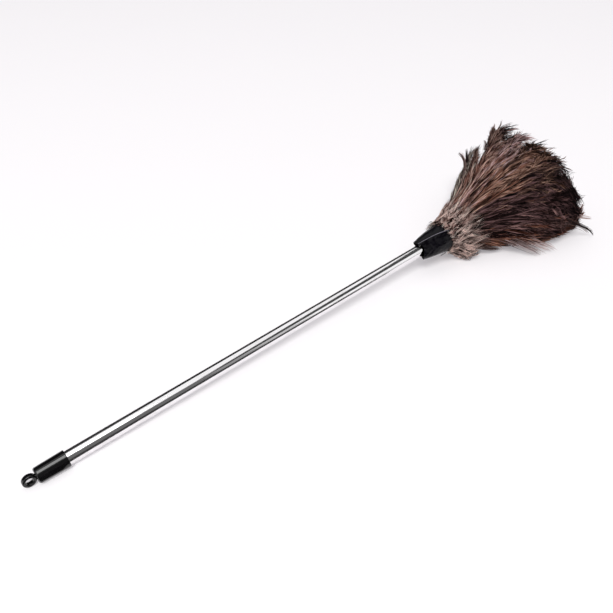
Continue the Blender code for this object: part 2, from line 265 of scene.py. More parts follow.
def bump(tree, height, strength, distance, **under):
    made = node(tree, "Bump")
    return wire(tree, made, Strength=strength, Distance=distance, Height=height, **under).outputs[0]


def new_finish(name, **constants):
    """A material with its Principled shader, whose plain values are set by the sockets' names."""
    material = bpy.data.materials.new(name)
    material.use_nodes = True
    tree = material.node_tree
    return material, tree, wire(tree, tree.nodes["Principled BSDF"], **constants)


def new_group(name, scales, masks):
    """An empty node group: a vector and scales go in, and masks or heights come out."""
    group = bpy.data.node_groups.new(name, "ShaderNodeTree")
    group.interface.new_socket("Vector", in_out="INPUT", socket_type="NodeSocketVector")
    for label, value in scales.items():
        socket = group.interface.new_socket(label, in_out="INPUT", socket_type="NodeSocketFloat")
        socket.default_value = value
    for label in masks:
        group.interface.new_socket(label, in_out="OUTPUT", socket_type="NodeSocketFloat")
    return group, group.nodes.new("NodeGroupInput").outputs, group.nodes.new("NodeGroupOutput")


def use_group(tree, group, place, **values):
    return wire(tree, node(tree, "Group", node_tree=group), Vector=place, **values).outputs


# %% [markdown]
# ## The studio
#
# A white floor under a pale sky gives the ground of a catalogue picture, and one wide lamp above
# throws a soft shadow close beside the pole. A photographer lifts such a ground to plain white
# without adding light to the object: here the floor mixes in a little glow of its own, which only
# the camera and reflections see. The glow has a breath of lilac, so the shadows have it too.

# %% Floor, sky and lamp
SKY_LEVEL, SKY_TINT, WHITE = 0.5, (1.0, 0.975, 1.0, 1.0), (1, 1, 1, 1)
FLOOR_HALF_M = 6.0
FLOOR_PAINT, FLOOR_CLOUDS = (0.97, 0.97, 0.975, 1), (0.985, 0.985, 0.985, 1)
FLOOR_GLOW, FLOOR_GLOW_SHARE = (1.0, 0.955, 1.0, 1.0), 0.34
LAMP_PLACE, LAMP_AIM = Vector((-3.3, -3.2, 6.6)), Vector((0.1, 0, 0))
LAMP_POWER_W, LAMP_WIDTH_M, LAMP_TINT = 470.0, 3.0, (1, 0.995, 0.985)


def seen_directly(tree):
    """1 for what the camera sees, straight or in a reflection, and 0 for the light that is given."""
    rays = node(tree, "LightPath").outputs
    shown = combine(tree, "MAXIMUM", rays["Is Camera Ray"], rays["Is Glossy Ray"])
    return combine(tree, "MAXIMUM", shown, rays["Is Transmission Ray"])


start_clean()
bpy.ops.mesh.primitive_plane_add(size=2 * FLOOR_HALF_M, location=(0, 0, 0))
floor = just_added("studio_floor")
material, tree, shader = new_finish("white_floor", Roughness=0.9, Specular_IOR_Level=0.0)
clouds = noise(tree, coordinates(tree), 3.0)
wire(tree, shader, Base_Color=blend(tree, clouds, FLOOR_PAINT, FLOOR_CLOUDS))
glow = wire(tree, node(tree, "Emission"), Color=FLOOR_GLOW)
share = combine(tree, "MULTIPLY", seen_directly(tree), FLOOR_GLOW_SHARE)
mixer = wire(tree, node(tree, "MixShader"), share, shader.outputs[0], glow.outputs[0])
wire(tree, tree.nodes["Material Output"], Surface=mixer.outputs[0])
floor.data.materials.append(material)

# The sky is white to the camera and to reflections. Its light comes mostly from above, as from a
# wide softbox, and lights the floor at SKY_LEVEL.
world = bpy.data.worlds.new("pale_studio")
bpy.context.scene.world = world
world.use_nodes = True
tree = world.node_tree
shown = seen_directly(tree)
up = wire(tree, node(tree, "SeparateXYZ"), coordinates(tree, "Generated")).outputs["Z"]
given = combine(tree, "MULTIPLY", combine(tree, "MULTIPLY", up, up), 2 * SKY_LEVEL)
strength = remap(tree, shown, 0.0, 1.0, given, 1.0)
wire(tree, tree.nodes["Background"], Color=blend(tree, shown, SKY_TINT, WHITE), Strength=strength)

light = bpy.data.lights.new("key_lamp", "AREA")
light.shape = "DISK"
light.size = LAMP_WIDTH_M
light.energy = LAMP_POWER_W
light.color = LAMP_TINT
lamp = add_object("key_lamp", light)
lamp.location = LAMP_PLACE
lamp.rotation_euler = (LAMP_AIM - LAMP_PLACE).to_track_quat("-Z", "Y").to_euler()
lamp.visible_glossy = False
print("studio ready, sky level", SKY_LEVEL)

# %% [markdown]
# Polished steel and gloss plastic show whatever stands round them, so a photographer draws dark
# lines in them with grey cards, and a pale streak with a bright sheet. The cards here are seen by
# reflections alone, and take no light from the object. Each is a flat outline with its place and
# its brightness: six stand in front of the pole, one stands behind it, two hang above it and one
# lies on the floor before it.

# %% Cards for the reflections
FRONT, BACK, ABOVE, LYING = -1.0, 1.5, 2.0, 0.0008
CARDS = (
    ("card_front", FRONT, 0.15, ((-3, 0.2), (0.05, 0.2), (0.05, 1), (0.25, 1.6), (0, 1.6), (-3, 1.4))),
    ("card_front_foot", FRONT, 0.05, ((-3, 0), (0.75, 0), (0.6, 0.2), (-3, 0.2))),
    ("card_front_heel", FRONT, 0.35, ((0.75, 0), (1.05, 0), (0.85, 0.2), (0.6, 0.2))),
    ("card_front_edge", FRONT, 0.30, ((0.05, 0.2), (0.22, 0.2), (0.22, 1), (0.05, 1))),
    ("card_front_rim", FRONT, 0.55, ((0.22, 0.2), (0.42, 0.2), (0.42, 0.95), (0.22, 1))),
    ("card_front_top", FRONT, 0.06, (
        (0.05, 1), (0.42, 0.95), (0.62, 0.95), (0.95, 1.15), (1.3, 1.38), (2.1, 2), (0.25, 2), (0.25, 1.6),
    )),
    ("card_back", BACK, 0.035, (
        (-3, 0), (4, 0), (4, 1.7), (0.5, 1.75), (0.1, 2), (-0.3, 2.6), (-3, 2.8),
    )),
    ("card_above", ABOVE, 0.07, (
        (0.25, -1), (2.1, -1), (4, 0), (4, 2.2), (1.9, 1.5),
        (1.5, 0.7), (1.17, 0), (0.89, -0.28), (0.65, -0.5), (0.44, -0.77),
    )),
    ("bright_sheet", ABOVE, 6.5, ((-1.6, -0.8), (-0.14, -0.8), (-0.14, 0.28), (-1.6, 0.28))),
    # The card that lies on the floor is a dark card seen only in reflections; where it reaches right under
    # the cap it is a painted shadow of the cap and pole on the floor.
    ("card_and_shadow_on_floor", LYING, 0.05, (
        (-3, -0.014), (-3, -1), (0.45, -1), (0.45, -0.5), (0.2, -0.17), (0.05, -0.13),
        (-0.1, -0.11), (-0.2, -0.09), (-0.33, -0.075), (-0.5, -0.042), (-0.53, -0.034), (-0.54, -0.014),
    )),
)

for name, depth, level, outline in CARDS:
    standing = depth in (FRONT, BACK)
    corners = [(x, depth, y) if standing else (x, y, depth) for x, y in outline]
    mesh = bpy.data.meshes.new(name)
    mesh.from_pydata(corners, [], [tuple(range(len(corners)))])
    card = add_object(name, mesh)
    black = {"Base_Color": (0, 0, 0, 1), "Roughness": 1.0, "Specular_IOR_Level": 0.0}
    mesh.materials.append(new_finish(name, **black, Emission_Color=WHITE, Emission_Strength=level)[0])
    card.visible_camera = card.visible_diffuse = False
    card.visible_shadow = card.visible_transmission = False
print("cards:", len(CARDS))

# %% [markdown]
# ## Marks of handling
#
# Every hard piece is touched by hands, so steel, plastic and leathercloth share one effect: soft
# smears that dull the gloss a little, and fine hair scratches. It is built once as a node group and
# used with its own strength in each finish. It only gives masks, and each material decides what
# the masks do.

# %% A shared group for smears and scratches
SCRATCH_TURN, SCRATCH_STRETCH = (0.0, 0.0, 0.6), (0.06, 1.0, 1.0)
scales = {"Smear Scale": 18.0, "Scratch Scale": 260.0}
HANDLING, given, result = new_group("handling_marks", scales, ("Smears", "Scratches"))
smear = noise(HANDLING, given["Vector"], given["Smear Scale"], 6.0, 0.6)
drawn_out = node(HANDLING, "Mapping")
wire(HANDLING, drawn_out, Vector=given["Vector"], Rotation=SCRATCH_TURN, Scale=SCRATCH_STRETCH)
hair = noise(HANDLING, drawn_out.outputs[0], given["Scratch Scale"], 2.0, 0.5)
smears = remap(HANDLING, smear, 0.42, 0.68, 0.0, 1.0, "SMOOTHSTEP")
wire(HANDLING, result, Smears=smears, Scratches=remap(HANDLING, hair, 0.66, 0.72, 0.0, 1.0))
print("shared group:", HANDLING.name)

# %% [markdown]
# ## The steel tube
#
# The pole is drawn stainless tube, polished until it reflects like a mirror with a slight haze. It
# has one diameter all along. A cylinder with many sides and a wall gives it, and the reflections
# stay clean because nothing is cut into the part that shows. Rings are cut round the spot where a
# nail goes through under the cuff, so that the hole spoils only that short stretch.

# %% Model the tube
TUBE_RADIUS, TUBE_WALL, TUBE_BARE, TUBE_IN_CUFF = 0.011, 0.0006, 0.698, 0.018
TUBE_SIDES, HOLE_SIDES = 160, 24
NAIL_PLACE, NAIL_HOLE_RADIUS, NAIL_HOLE_REACH = 0.008, 0.0011, 0.006
SEAT_GAP = 0.0003
CAP_LENGTH, CAP_FLOOR = 0.046, 0.0022
near, far = SEAT_GAP + CAP_FLOOR - CAP_LENGTH, TUBE_BARE + TUBE_IN_CUFF
middle = ((near + far) / 2, 0, 0)
tube = cylinder("steel_tube", TUBE_SIDES, TUBE_RADIUS, far - near, middle, ends="NOTHING")
apply_place(tube)
nail = TUBE_BARE + NAIL_PLACE
for side in (-1, 1):
    pick(tube, "FACE", lambda face: True)
    bpy.ops.mesh.bisect(plane_co=(nail + side * NAIL_HOLE_REACH, 0, 0), plane_no=(1, 0, 0))
    take(tube)
apply_modifier(tube, "SOLIDIFY", thickness=TUBE_WALL, offset=-1.0, use_even_offset=True)
top = (nail, 0, TUBE_RADIUS)
hole = cylinder("nail_hole", HOLE_SIDES, NAIL_HOLE_RADIUS, 2 * TUBE_RADIUS, top, turn=(0, 0, 0))
apply_modifier(tube, "BOOLEAN", operation="DIFFERENCE", object=hole)
bpy.data.objects.remove(hole)
lay_on_pole(tube, 30)

# %% [markdown]
# Polished steel is bright, with almost no colour. What makes it real is in the roughness: long
# polishing lines along the tube, a slight haze, and finger smears near the cap.

# %% Finish the tube
STEEL, SMEARED_STEEL = paint(243, 241, 243), paint(234, 232, 233)
material, tree, shader = new_finish("polished_steel", Metallic=1.0)
lines = noise(tree, pole_coordinates(tree, (2.0, 300.0, 300.0)), 9.0, 3.0)
marks = use_group(tree, HANDLING, pole_coordinates(tree), Smear_Scale=26.0, Scratch_Scale=900.0)
haze = add_mask(tree, remap(tree, lines, 0.3, 0.7, 0.075, 0.105), marks["Smears"], 0.05)
wire(
    tree, shader, Base_Color=blend(tree, marks["Smears"], STEEL, SMEARED_STEEL),
    Roughness=add_mask(tree, haze, marks["Scratches"], 0.04), Normal=bump(tree, lines, 0.02, 0.0002),
)
dress(tube, material, "duster", "polished_steel", "handle_tube")

# %% [markdown]
# ## The cap and its eyelet
#
# The black cap is moulded in one piece: a sleeve over the tube, a rounded shoulder, a short neck
# and a flattened ring to hang it by. By hand it is made from three starts. A cylinder is tapered,
# hollowed by an inset and an extrude, and its edges are bevelled. A disc is inset on both sides and
# bridged through to make the ring. A box, bevelled, is the neck. A union joins them.

# %% Model the cap
CAP_RIM_WALL, CAP_RIM_ROUND, CAP_TAPER, CAP_SHOULDER, CAP_SIDES = 0.00175, 0.0007, 0.00095, 0.0034, 96
CAP_RIM_RADIUS = TUBE_RADIUS + SEAT_GAP + CAP_RIM_WALL
EYELET_RADIUS, EYELET_HOLE_RADIUS, EYELET_SIDES = 0.0102, 0.0057, 72
EYELET_THICKNESS, EYELET_ROUND, EYELET_SUNK = 0.0078, 0.0017, 0.0004
EYELET_MIDDLE = Vector((EYELET_SUNK - CAP_LENGTH - EYELET_RADIUS, 0, 0))
ACROSS_Y = (math.pi / 2, 0, 0)
NECK_SIZE, NECK_PLACE, NECK_ROUND = (0.0052, 0.0056, 0.0092), -0.0466, 0.0014

cap = cylinder("black_cap", CAP_SIDES, CAP_RIM_RADIUS, CAP_LENGTH, (-CAP_LENGTH / 2, 0, 0))
apply_place(cap)
pick(cap, "FACE", lambda face: face.normal.x < -0.9)
taper = (CAP_RIM_RADIUS - CAP_TAPER) / CAP_RIM_RADIUS
bpy.ops.transform.resize(value=(1, taper, taper), center_override=(-CAP_LENGTH, 0, 0))
bpy.ops.mesh.bevel(offset=CAP_SHOULDER, segments=10, affect="EDGES")
pick(cap, "FACE", lambda face: face.normal.x > 0.9 and face.calc_center_median().x > -CAP_SHOULDER)
bpy.ops.mesh.bevel(offset=CAP_RIM_ROUND, segments=4, affect="EDGES")
pick(cap, "FACE", lambda face: face.normal.x > 0.99 and len(face.verts) == CAP_SIDES)
bpy.ops.mesh.inset(thickness=CAP_RIM_WALL - CAP_RIM_ROUND)
bpy.ops.mesh.extrude_region_move(TRANSFORM_OT_translate={"value": (CAP_FLOOR - CAP_LENGTH, 0, 0)})

ring = cylinder("ring", EYELET_SIDES, EYELET_RADIUS, EYELET_THICKNESS, EYELET_MIDDLE, turn=ACROSS_Y)
apply_place(ring)
pick(ring, "FACE", lambda face: abs(face.normal.y) > 0.9)
bpy.ops.mesh.inset(thickness=EYELET_RADIUS - EYELET_HOLE_RADIUS, use_individual=True)
bpy.ops.mesh.bridge_edge_loops()


def on_a_rim(edge):
    first, second = (vert.co - EYELET_MIDDLE for vert in edge.verts)
    flat = abs(abs(first.y) - EYELET_THICKNESS / 2) < SEAT_GAP and abs(first.y - second.y) < SEAT_GAP
    return flat and abs(first.length - second.length) < SEAT_GAP


pick(ring, "EDGE", on_a_rim)
bpy.ops.mesh.bevel(offset=EYELET_ROUND, segments=6, affect="EDGES")
bpy.ops.mesh.select_all(action="SELECT")
bpy.ops.mesh.normals_make_consistent(inside=False)

start_clean()
bpy.ops.mesh.primitive_cube_add(size=1, location=(NECK_PLACE, 0, 0), scale=NECK_SIZE)
neck = apply_place(just_added("neck"))
pick(neck, "EDGE", lambda edge: abs((edge.verts[0].co - edge.verts[1].co).normalized().x) > 0.9)
bpy.ops.mesh.bevel(offset=NECK_ROUND, segments=5, affect="EDGES")

for part in (ring, neck):
    apply_modifier(cap, "BOOLEAN", operation="UNION", object=part)
    bpy.data.objects.remove(part)
lay_on_pole(cap, 40)

# %% [markdown]
# The plastic is glossy black, not quite a mirror: the mould leaves a very fine ripple that softens
# the long highlight, and handling leaves smears and short scratches.

# %% Finish the cap
material, tree, shader = new_finish("gloss_black_plastic")
place = pole_coordinates(tree)
marks = use_group(tree, HANDLING, place, Smear_Scale=60.0, Scratch_Scale=1400.0)
dull = remap(tree, marks["Smears"], 0.0, 1.0, 0.05, 0.10)
wire(
    tree, shader, Base_Color=blend(tree, marks["Smears"], paint(7, 6, 8), paint(14, 13, 15)),
    Roughness=add_mask(tree, dull, marks["Scratches"], 0.1),
    Normal=bump(tree, noise(tree, place, 420.0, 3.0), 0.08, 0.0003),
)
dress(cap, material, "end_cap", "black_plastic", "end_cap")

# %% [markdown]
# ## The cuff
#
# A strip of black leathercloth is wrapped round the roots of the plumes and glued where it laps, so
# it stands as an open flared cone with one raised edge. Its narrow rim is cut on a slant, dips in a
# notch on the near side and is pressed in there. It is a flat grid first, as the strip is on the
# bench. Rolling it up needs a rule for each point and not one operator, so its points are set by a
# function. Solidify then gives the cloth its thickness.

# %% Roll the cuff
CUFF_LENGTH, CUFF_WALL, CUFF_EDGE_ROUND, CUFF_RIM_CLEAR = 0.0675, 0.001, 0.00022, 0.0058
CUFF_RIM_INNER = TUBE_RADIUS + CUFF_RIM_CLEAR
RIM_SLANT, RIM_SLANT_ANGLE, RIM_SLANT_POWER = 0.018, math.radians(311.0), 1.58
RIM_NOTCH, RIM_NOTCH_POWER = 0.009, 3
RIM_PRESSED, RIM_PRESSED_ANGLE, RIM_PRESSED_SHARE = 0.0049, math.radians(133.0), 0.85
LAP_ANGLE, LAP_EDGE_ANGLE, LAP_TWIST = math.radians(25.0), math.radians(103.0), math.radians(34.0)
LAP_HOLD_ANGLE, LAP_RAMP_ANGLE, LAP_CLEARANCE = math.radians(6.0), math.radians(24.0), 0.0005
CREASE_HEIGHT, CREASE_WAVES = 0.0014, ((3, 30, 0), (5, -60, 1))

QUILL_RADIUS, FIRST_ROW_START, ROW_STEP, ROWS = 0.0012, 0.020, 0.0113, 4
THREAD_THICKNESS = 0.0007
WIRE_RADIUS, WIRE_TURNS, WIRE_PITCH, WIRE_SIDES, WIRE_CLEAR = 0.0004, 5, 0.0013, 24, 0.004
WIRE_START = FIRST_ROW_START + (ROWS - 1) * ROW_STEP + WIRE_CLEAR
WIRE_END = WIRE_START + WIRE_TURNS * WIRE_PITCH
CORE_RADIUS = TUBE_RADIUS - TUBE_WALL - SEAT_GAP
ROW_PITCH = 2 * QUILL_RADIUS + THREAD_THICKNESS + 2 * SEAT_GAP


def quill_circle(row):
    """Radius of the circle on which a row's quills are bound, for the rows from the inside out."""
    return CORE_RADIUS + SEAT_GAP + QUILL_RADIUS + row * ROW_PITCH


LAST_QUILLS = quill_circle(ROWS - 1) + QUILL_RADIUS
WIRE_CIRCLE = (LAST_QUILLS + SEAT_GAP + WIRE_RADIUS) / math.cos(math.pi / WIRE_SIDES)
CUFF_SEAT_INNER = WIRE_CIRCLE + WIRE_RADIUS + SEAT_GAP
CUFF_FLARE = (CUFF_SEAT_INNER - CUFF_RIM_INNER) / (WIRE_START / CUFF_LENGTH)


def cuff_inner_radius(place):
    return CUFF_RIM_INNER + CUFF_FLARE * place / CUFF_LENGTH


def smooth(share):
    """An S-curve from 0 to 1, for one number or an array."""
    share = np.clip(share, 0.0, 1.0)
    return share * share * (3 - 2 * share)


def mix(first, second, share):
    return first + (second - first) * share


def rolled(across, along):
    """Where a point of the flat strip goes, for shares across the wrap and along the cone."""
    turn = across * (2 * math.pi + LAP_ANGLE)
    angle = LAP_EDGE_ANGLE + LAP_TWIST * (along - 0.5) + turn
    near_side = math.cos(angle - RIM_PRESSED_ANGLE)
    rim = RIM_SLANT * ((1 + math.cos(angle - RIM_SLANT_ANGLE)) / 2) ** RIM_SLANT_POWER
    rim += RIM_NOTCH * max(0.0, near_side) ** RIM_NOTCH_POWER
    place = mix(rim, CUFF_LENGTH, along)
    sinking = smooth((turn - LAP_ANGLE - LAP_HOLD_ANGLE) / LAP_RAMP_ANGLE)
    pressed = RIM_PRESSED * near_side**2 * (1 - smooth(along / RIM_PRESSED_SHARE))
    radius = cuff_inner_radius(place) - pressed + (1 - sinking) * (CUFF_WALL + LAP_CLEARANCE)
    crease = math.prod(math.sin(a * angle + b * place + c) for a, b, c in CREASE_WAVES)
    radius += CREASE_HEIGHT * (0.5 + 0.5 * crease) * math.sin(math.pi * along) ** 0.5 * float(sinking)
    return Vector((TUBE_BARE + place, radius * math.cos(angle), radius * math.sin(angle)))


start_clean()
bpy.ops.mesh.primitive_grid_add(x_subdivisions=200, y_subdivisions=36, size=1)
cuff = just_added("leathercloth_cuff")
for point in cuff.data.vertices:
    point.co = rolled(point.co.x + 0.5, point.co.y + 0.5)
apply_modifier(cuff, "SOLIDIFY", thickness=CUFF_WALL, offset=1.0)
apply_modifier(cuff, "BEVEL", width=CUFF_EDGE_ROUND, segments=3, limit_method="ANGLE")
lay_on_pole(cuff, 50)

# %% [markdown]
# Leathercloth is a vinyl skin with an embossed grain of small rounded pebbles, glossy on their tops.
# Cells give the pebbles, and a finer noise breaks them up. The cut edge of the lap is painted pale,
# a painted highlight along its raised edge. The gloss is a coat over a dull skin, and broad soft
# folds bend it.

# %% Finish the cuff
CELL_WOBBLE = (0.0012, 0.0012, 0.0012)
GRAIN, given, result = new_group("pebbled_grain", {"Pebble Scale": 900.0}, ("Height", "Creases"))
place = given["Vector"]
shifted = node(GRAIN, "VectorMath", operation="MULTIPLY_ADD")
wire(GRAIN, shifted, noise(GRAIN, place, 500.0, 2.0), CELL_WOBBLE, place)
cells = node(GRAIN, "TexVoronoi", feature="DISTANCE_TO_EDGE")
wire(GRAIN, cells, Vector=shifted.outputs[0], Scale=given["Pebble Scale"])
to_wall = cells.outputs["Distance"]
pebbles = remap(GRAIN, to_wall, 0.0, 0.35, 0.0, 1.0, "SMOOTHSTEP")
height = add_mask(GRAIN, pebbles, noise(GRAIN, place, 2600.0, 2.0), 0.35)
wire(GRAIN, result, Height=height, Creases=remap(GRAIN, to_wall, 0.0, 0.12, 1.0, 0.0))

gloss = {"Specular_IOR_Level": 0.02, "Coat_Weight": 0.32, "Coat_Roughness": 0.06}
material, tree, shader = new_finish("black_leathercloth", **gloss)
place = pole_coordinates(tree)
grain = use_group(tree, GRAIN, place, Pebble_Scale=760.0)
marks = use_group(tree, HANDLING, place, Smear_Scale=45.0, Scratch_Scale=700.0)
skin = blend(tree, marks["Smears"], paint(4, 2, 8), paint(9, 6, 15))
skin = blend(tree, grain["Creases"], skin, paint(4, 4, 5))
strip = wire(tree, node(tree, "SeparateXYZ"), coordinates(tree, "UV"))
# Painted highlight: a thin pale band along the lap's cut edge stands for the light that its raised edge
# catches.
painted_edge_highlight = remap(tree, strip.outputs["X"], 0.004, 0.008, 1.0, 0.0)
dull = remap(tree, marks["Smears"], 0.0, 1.0, 0.26, 0.4)
folds = noise(tree, pole_coordinates(tree, (0.35, 1.0, 1.0)), 120.0, 2.0)
folded = bump(tree, folds, 0.9, 0.003)
wire(
    tree, shader, Base_Color=blend(tree, painted_edge_highlight, skin, paint(128, 124, 134)),
    Roughness=add_mask(tree, dull, grain["Creases"], 0.2),
    Normal=bump(tree, grain["Height"], 0.3, 0.0002, Normal=folded), Coat_Normal=folded,
)
dress(cuff, material, "duster", "black_leathercloth", "cuff")

# %% [markdown]
# ## What the cuff hides
#
# Under the cuff, rows of quills are bound to a beech core with waxed thread, and a steel wire holds
# the last row. These pieces keep the measured shapes and get finishes of their own: end grain and
# long fibres for beech, a wound ridge for each turn of thread, and a plain drawn look for the wire.

# %% Finish the bound pieces
beech, tree, shader = new_finish("beech")
fibres = noise(tree, pole_coordinates(tree, (1.0, 30.0, 30.0)), 60.0, 5.0)
flecks = noise(tree, pole_coordinates(tree, (4.0, 60.0, 60.0)), 90.0, 2.0)
flecked = remap(tree, flecks, 0.6, 0.7, 0.0, 0.6)
grain = blend(tree, fibres, paint(205, 168, 122), paint(170, 128, 84))
wire(
    tree, shader, Base_Color=blend(tree, flecked, grain, paint(126, 86, 54)),
    Roughness=remap(tree, fibres, 0.3, 0.7, 0.5, 0.7), Normal=bump(tree, fibres, 0.25, 0.0003),
)

thread, tree, shader = new_finish("waxed_thread")
turns = node(tree, "TexWave", wave_type="BANDS", bands_direction="X")
wire(tree, turns, Vector=pole_coordinates(tree), Scale=480.0, Distortion=0.6)
twist = noise(tree, pole_coordinates(tree, (1.0, 3.0, 3.0)), 700.0, 3.0)
wire(
    tree, shader, Base_Color=blend(tree, twist, paint(206, 190, 158), paint(160, 142, 108)),
    Roughness=remap(tree, twist, 0.3, 0.7, 0.6, 0.8), Normal=bump(tree, turns.outputs["Fac"], 0.7, 0.0004),
)

drawn_steel, tree, shader = new_finish("binding_steel", Metallic=1.0)
marks = use_group(tree, HANDLING, pole_coordinates(tree), Smear_Scale=160.0, Scratch_Scale=2000.0)
wire(
    tree, shader, Base_Color=blend(tree, marks["Smears"], paint(176, 175, 174), paint(138, 134, 130)),
    Roughness=remap(tree, marks["Smears"], 0.0, 1.0, 0.28, 0.48),
)

REFINISHED = {"wood_core": beech, "core_nail": drawn_steel, "binding_wire": drawn_steel}
REFINISHED |= {name: thread for name in frame["nodes"] if name.startswith("thread_binding")}
for name, finish in REFINISHED.items():
    for slot in frame["nodes"][name].material_slots:
        slot.material = finish
print("refinished:", sorted(REFINISHED))

# %% [markdown]
# ## How the head is shaped
#
# Four rows of plumes leave the cuff and fan out. Seen along the pole the head is round above and
# pressed flat below, where it rests on the floor. The measured model lays every plume in a surface
# that follows this outline, so the same rule is written here, for whole arrays of points at once:
# each strand of a plume can then be told where its own surface runs.

# %% The outline of the head
HEAD_LEFT, HEAD_RIGHT, HEAD_UP, HEAD_REACH = 0.127, 0.140, 0.118, 0.430
SPREAD_LENGTH, SPREAD_BLEND, SPREAD_EARLY_SHARE = 0.220, 0.045, 0.25
FLOOR_POWER, SQUARE_POWER, FLATTEN_POWER = 6, 2.3, 5.0
MOUTH_INSET = 0.0017
MOUTH_RADIUS = cuff_inner_radius(CUFF_LENGTH) - MOUTH_INSET


def head_radius(place, angle):
    """Radius of the head's outline at distances from the cuff's rim and at angles round the pole."""
    along = np.clip((place - CUFF_LENGTH) / SPREAD_LENGTH, 0.0, 1.0)
    share = mix(smooth(along), along, SPREAD_EARLY_SHARE)
    across, up = np.cos(angle), np.sin(angle)
    width = mix(MOUTH_RADIUS, np.where(across > 0, HEAD_LEFT, HEAD_RIGHT), share)
    to_floor = (RIM_CENTRE.z + (TUBE_BARE + place) * math.sin(LIE_ANGLE)) / math.cos(LIE_ANGLE)
    height = mix(MOUTH_RADIUS, HEAD_UP, share)
    pressed = (height**-FLOOR_POWER + to_floor**-FLOOR_POWER) ** (-1 / FLOOR_POWER)
    height = np.where(up < 0, pressed, height)
    power = mix(2.0, np.where(up < 0, FLATTEN_POWER, SQUARE_POWER), share)
    return (np.abs(across / width) ** power + np.abs(up / height) ** power) ** (-1 / power)


def patch(angle, place, middle_angle, angle_span, middle_place, place_span):
    """1 at one spot of the head, fading to 0 round it."""
    beside = (angle - middle_angle) / angle_span
    return np.exp(-(beside**2) - ((place - middle_place) / place_span) ** 2)


def from_pole(place, radius, angle):
    """World points from distances past the cuff's rim, radii and angles round the pole."""
    local = (TUBE_BARE + place, radius * np.cos(angle), radius * np.sin(angle))
    steps = (value[..., None] * np.array(axis) for value, axis in zip(local, POLE_AXES))
    return np.array(RIM_CENTRE) + sum(steps)


print("mouth of the cuff:", round(2000 * MOUTH_RADIUS), "mm across")

# %% [markdown]
# Each row has its depth in the head, how much its vanes lean over each other like roof tiles, how
# far its barbs stop short of the tips, and how far each plume reaches. Plumes are counted from the
# side that lies away from the camera, over the top, and under the head back again.
#
# Single plumes have traits of their own. A tip may curl outwards, hang to one side, end on a slant
# or be trimmed, one edge may be narrow, a quill may stand bare, and one plume is two-toned. All
# plumes have settled a little, more on the near side, and a waist is pressed in at the far side.

# %% The rows of plumes
PLUME_ROWS = (
    ("inner", 0.28, 0.16, 0.0, (0.98, 0.96, 0.92, 0.97, 1.0, 0.98)),
    ("second", 0.50, 0.12, 0.014, (0.92, 0.93, 0.91, 0.85, 0.85, 0.92, 0.95, 0.94, 0.95, 0.93)),
    ("third", 0.72, 0.09, 0.020, (
        0.80, 0.84, 0.85, 0.82, 0.80, 0.78, 0.82, 0.86, 0.88, 0.90, 0.88, 0.90, 0.88, 0.84,
    )),
    ("outer", 0.93, 0.075, 0.006, (
        0.66, 0.61, 0.74, 0.76, 0.73, 0.74, 0.69, 0.75, 0.77,
        0.82, 0.90, 0.88, 0.84, 0.83, 0.84, 0.83, 0.80, 0.70,
    )),
)
USUAL_TRAITS = {
    "curl": 0, "hang": 0.0, "slant": 0.0, "sides": (1.0, 1.0), "two_toned": 2.0, "quill_lift": -0.003,
}
OWN_TRAITS = {
    ("inner", 1): {"trim": 0.014},
    ("inner", 2): {"trim": 0.012},
    ("third", 4): {"trim": 0.036},
    ("third", 5): {"trim": 0.032},
    ("outer", 0): {"curl": 0.10, "hang": -0.14},
    ("outer", 1): {"curl": 0.05, "trim": 0.016, "sides": (1.0, 0.6), "quill_lift": 0.003},
    ("outer", 2): {
        "curl": 0.22, "hang": -0.11, "trim": 0.008, "slant": 0.028, "sides": (0.12, 1.2), "quill_lift": 0.004,
    },
    ("outer", 3): {"curl": 0.03, "hang": -0.10, "trim": 0.004, "slant": 0.018},
    ("outer", 4): {"hang": 0.02, "trim": 0.038},
    ("outer", 5): {"hang": -0.06, "trim": 0.020, "two_toned": 0.5},
    ("outer", 6): {"trim": 0.034},
    ("outer", 7): {"trim": 0.032},
    ("outer", 8): {"trim": 0.026},
    ("outer", 9): {"trim": 0.022},
    ("outer", 10): {"trim": 0.018},
}
VANE_OPENING, VANE_ARCH_SHARE, CURL_START_SHARE, CURL_MOST = 0.033, 0.05, 0.7, 1.5
FIRST_ANGLE_SHARE, ANGLE_JITTER_SHARE, JITTER_WAVE = 0.75, 0.09, (1.3, 2.1, 0.7)
TIP_ROUND, TIP_ROUND_POWER = 0.040, 2.6
SETTLED_NEAR, SETTLED_FAR = 0.90, 0.95
WAIST_DEPTH, WAIST_PATCH = 0.13, (math.radians(40.0), 0.5, 0.178, 0.055)


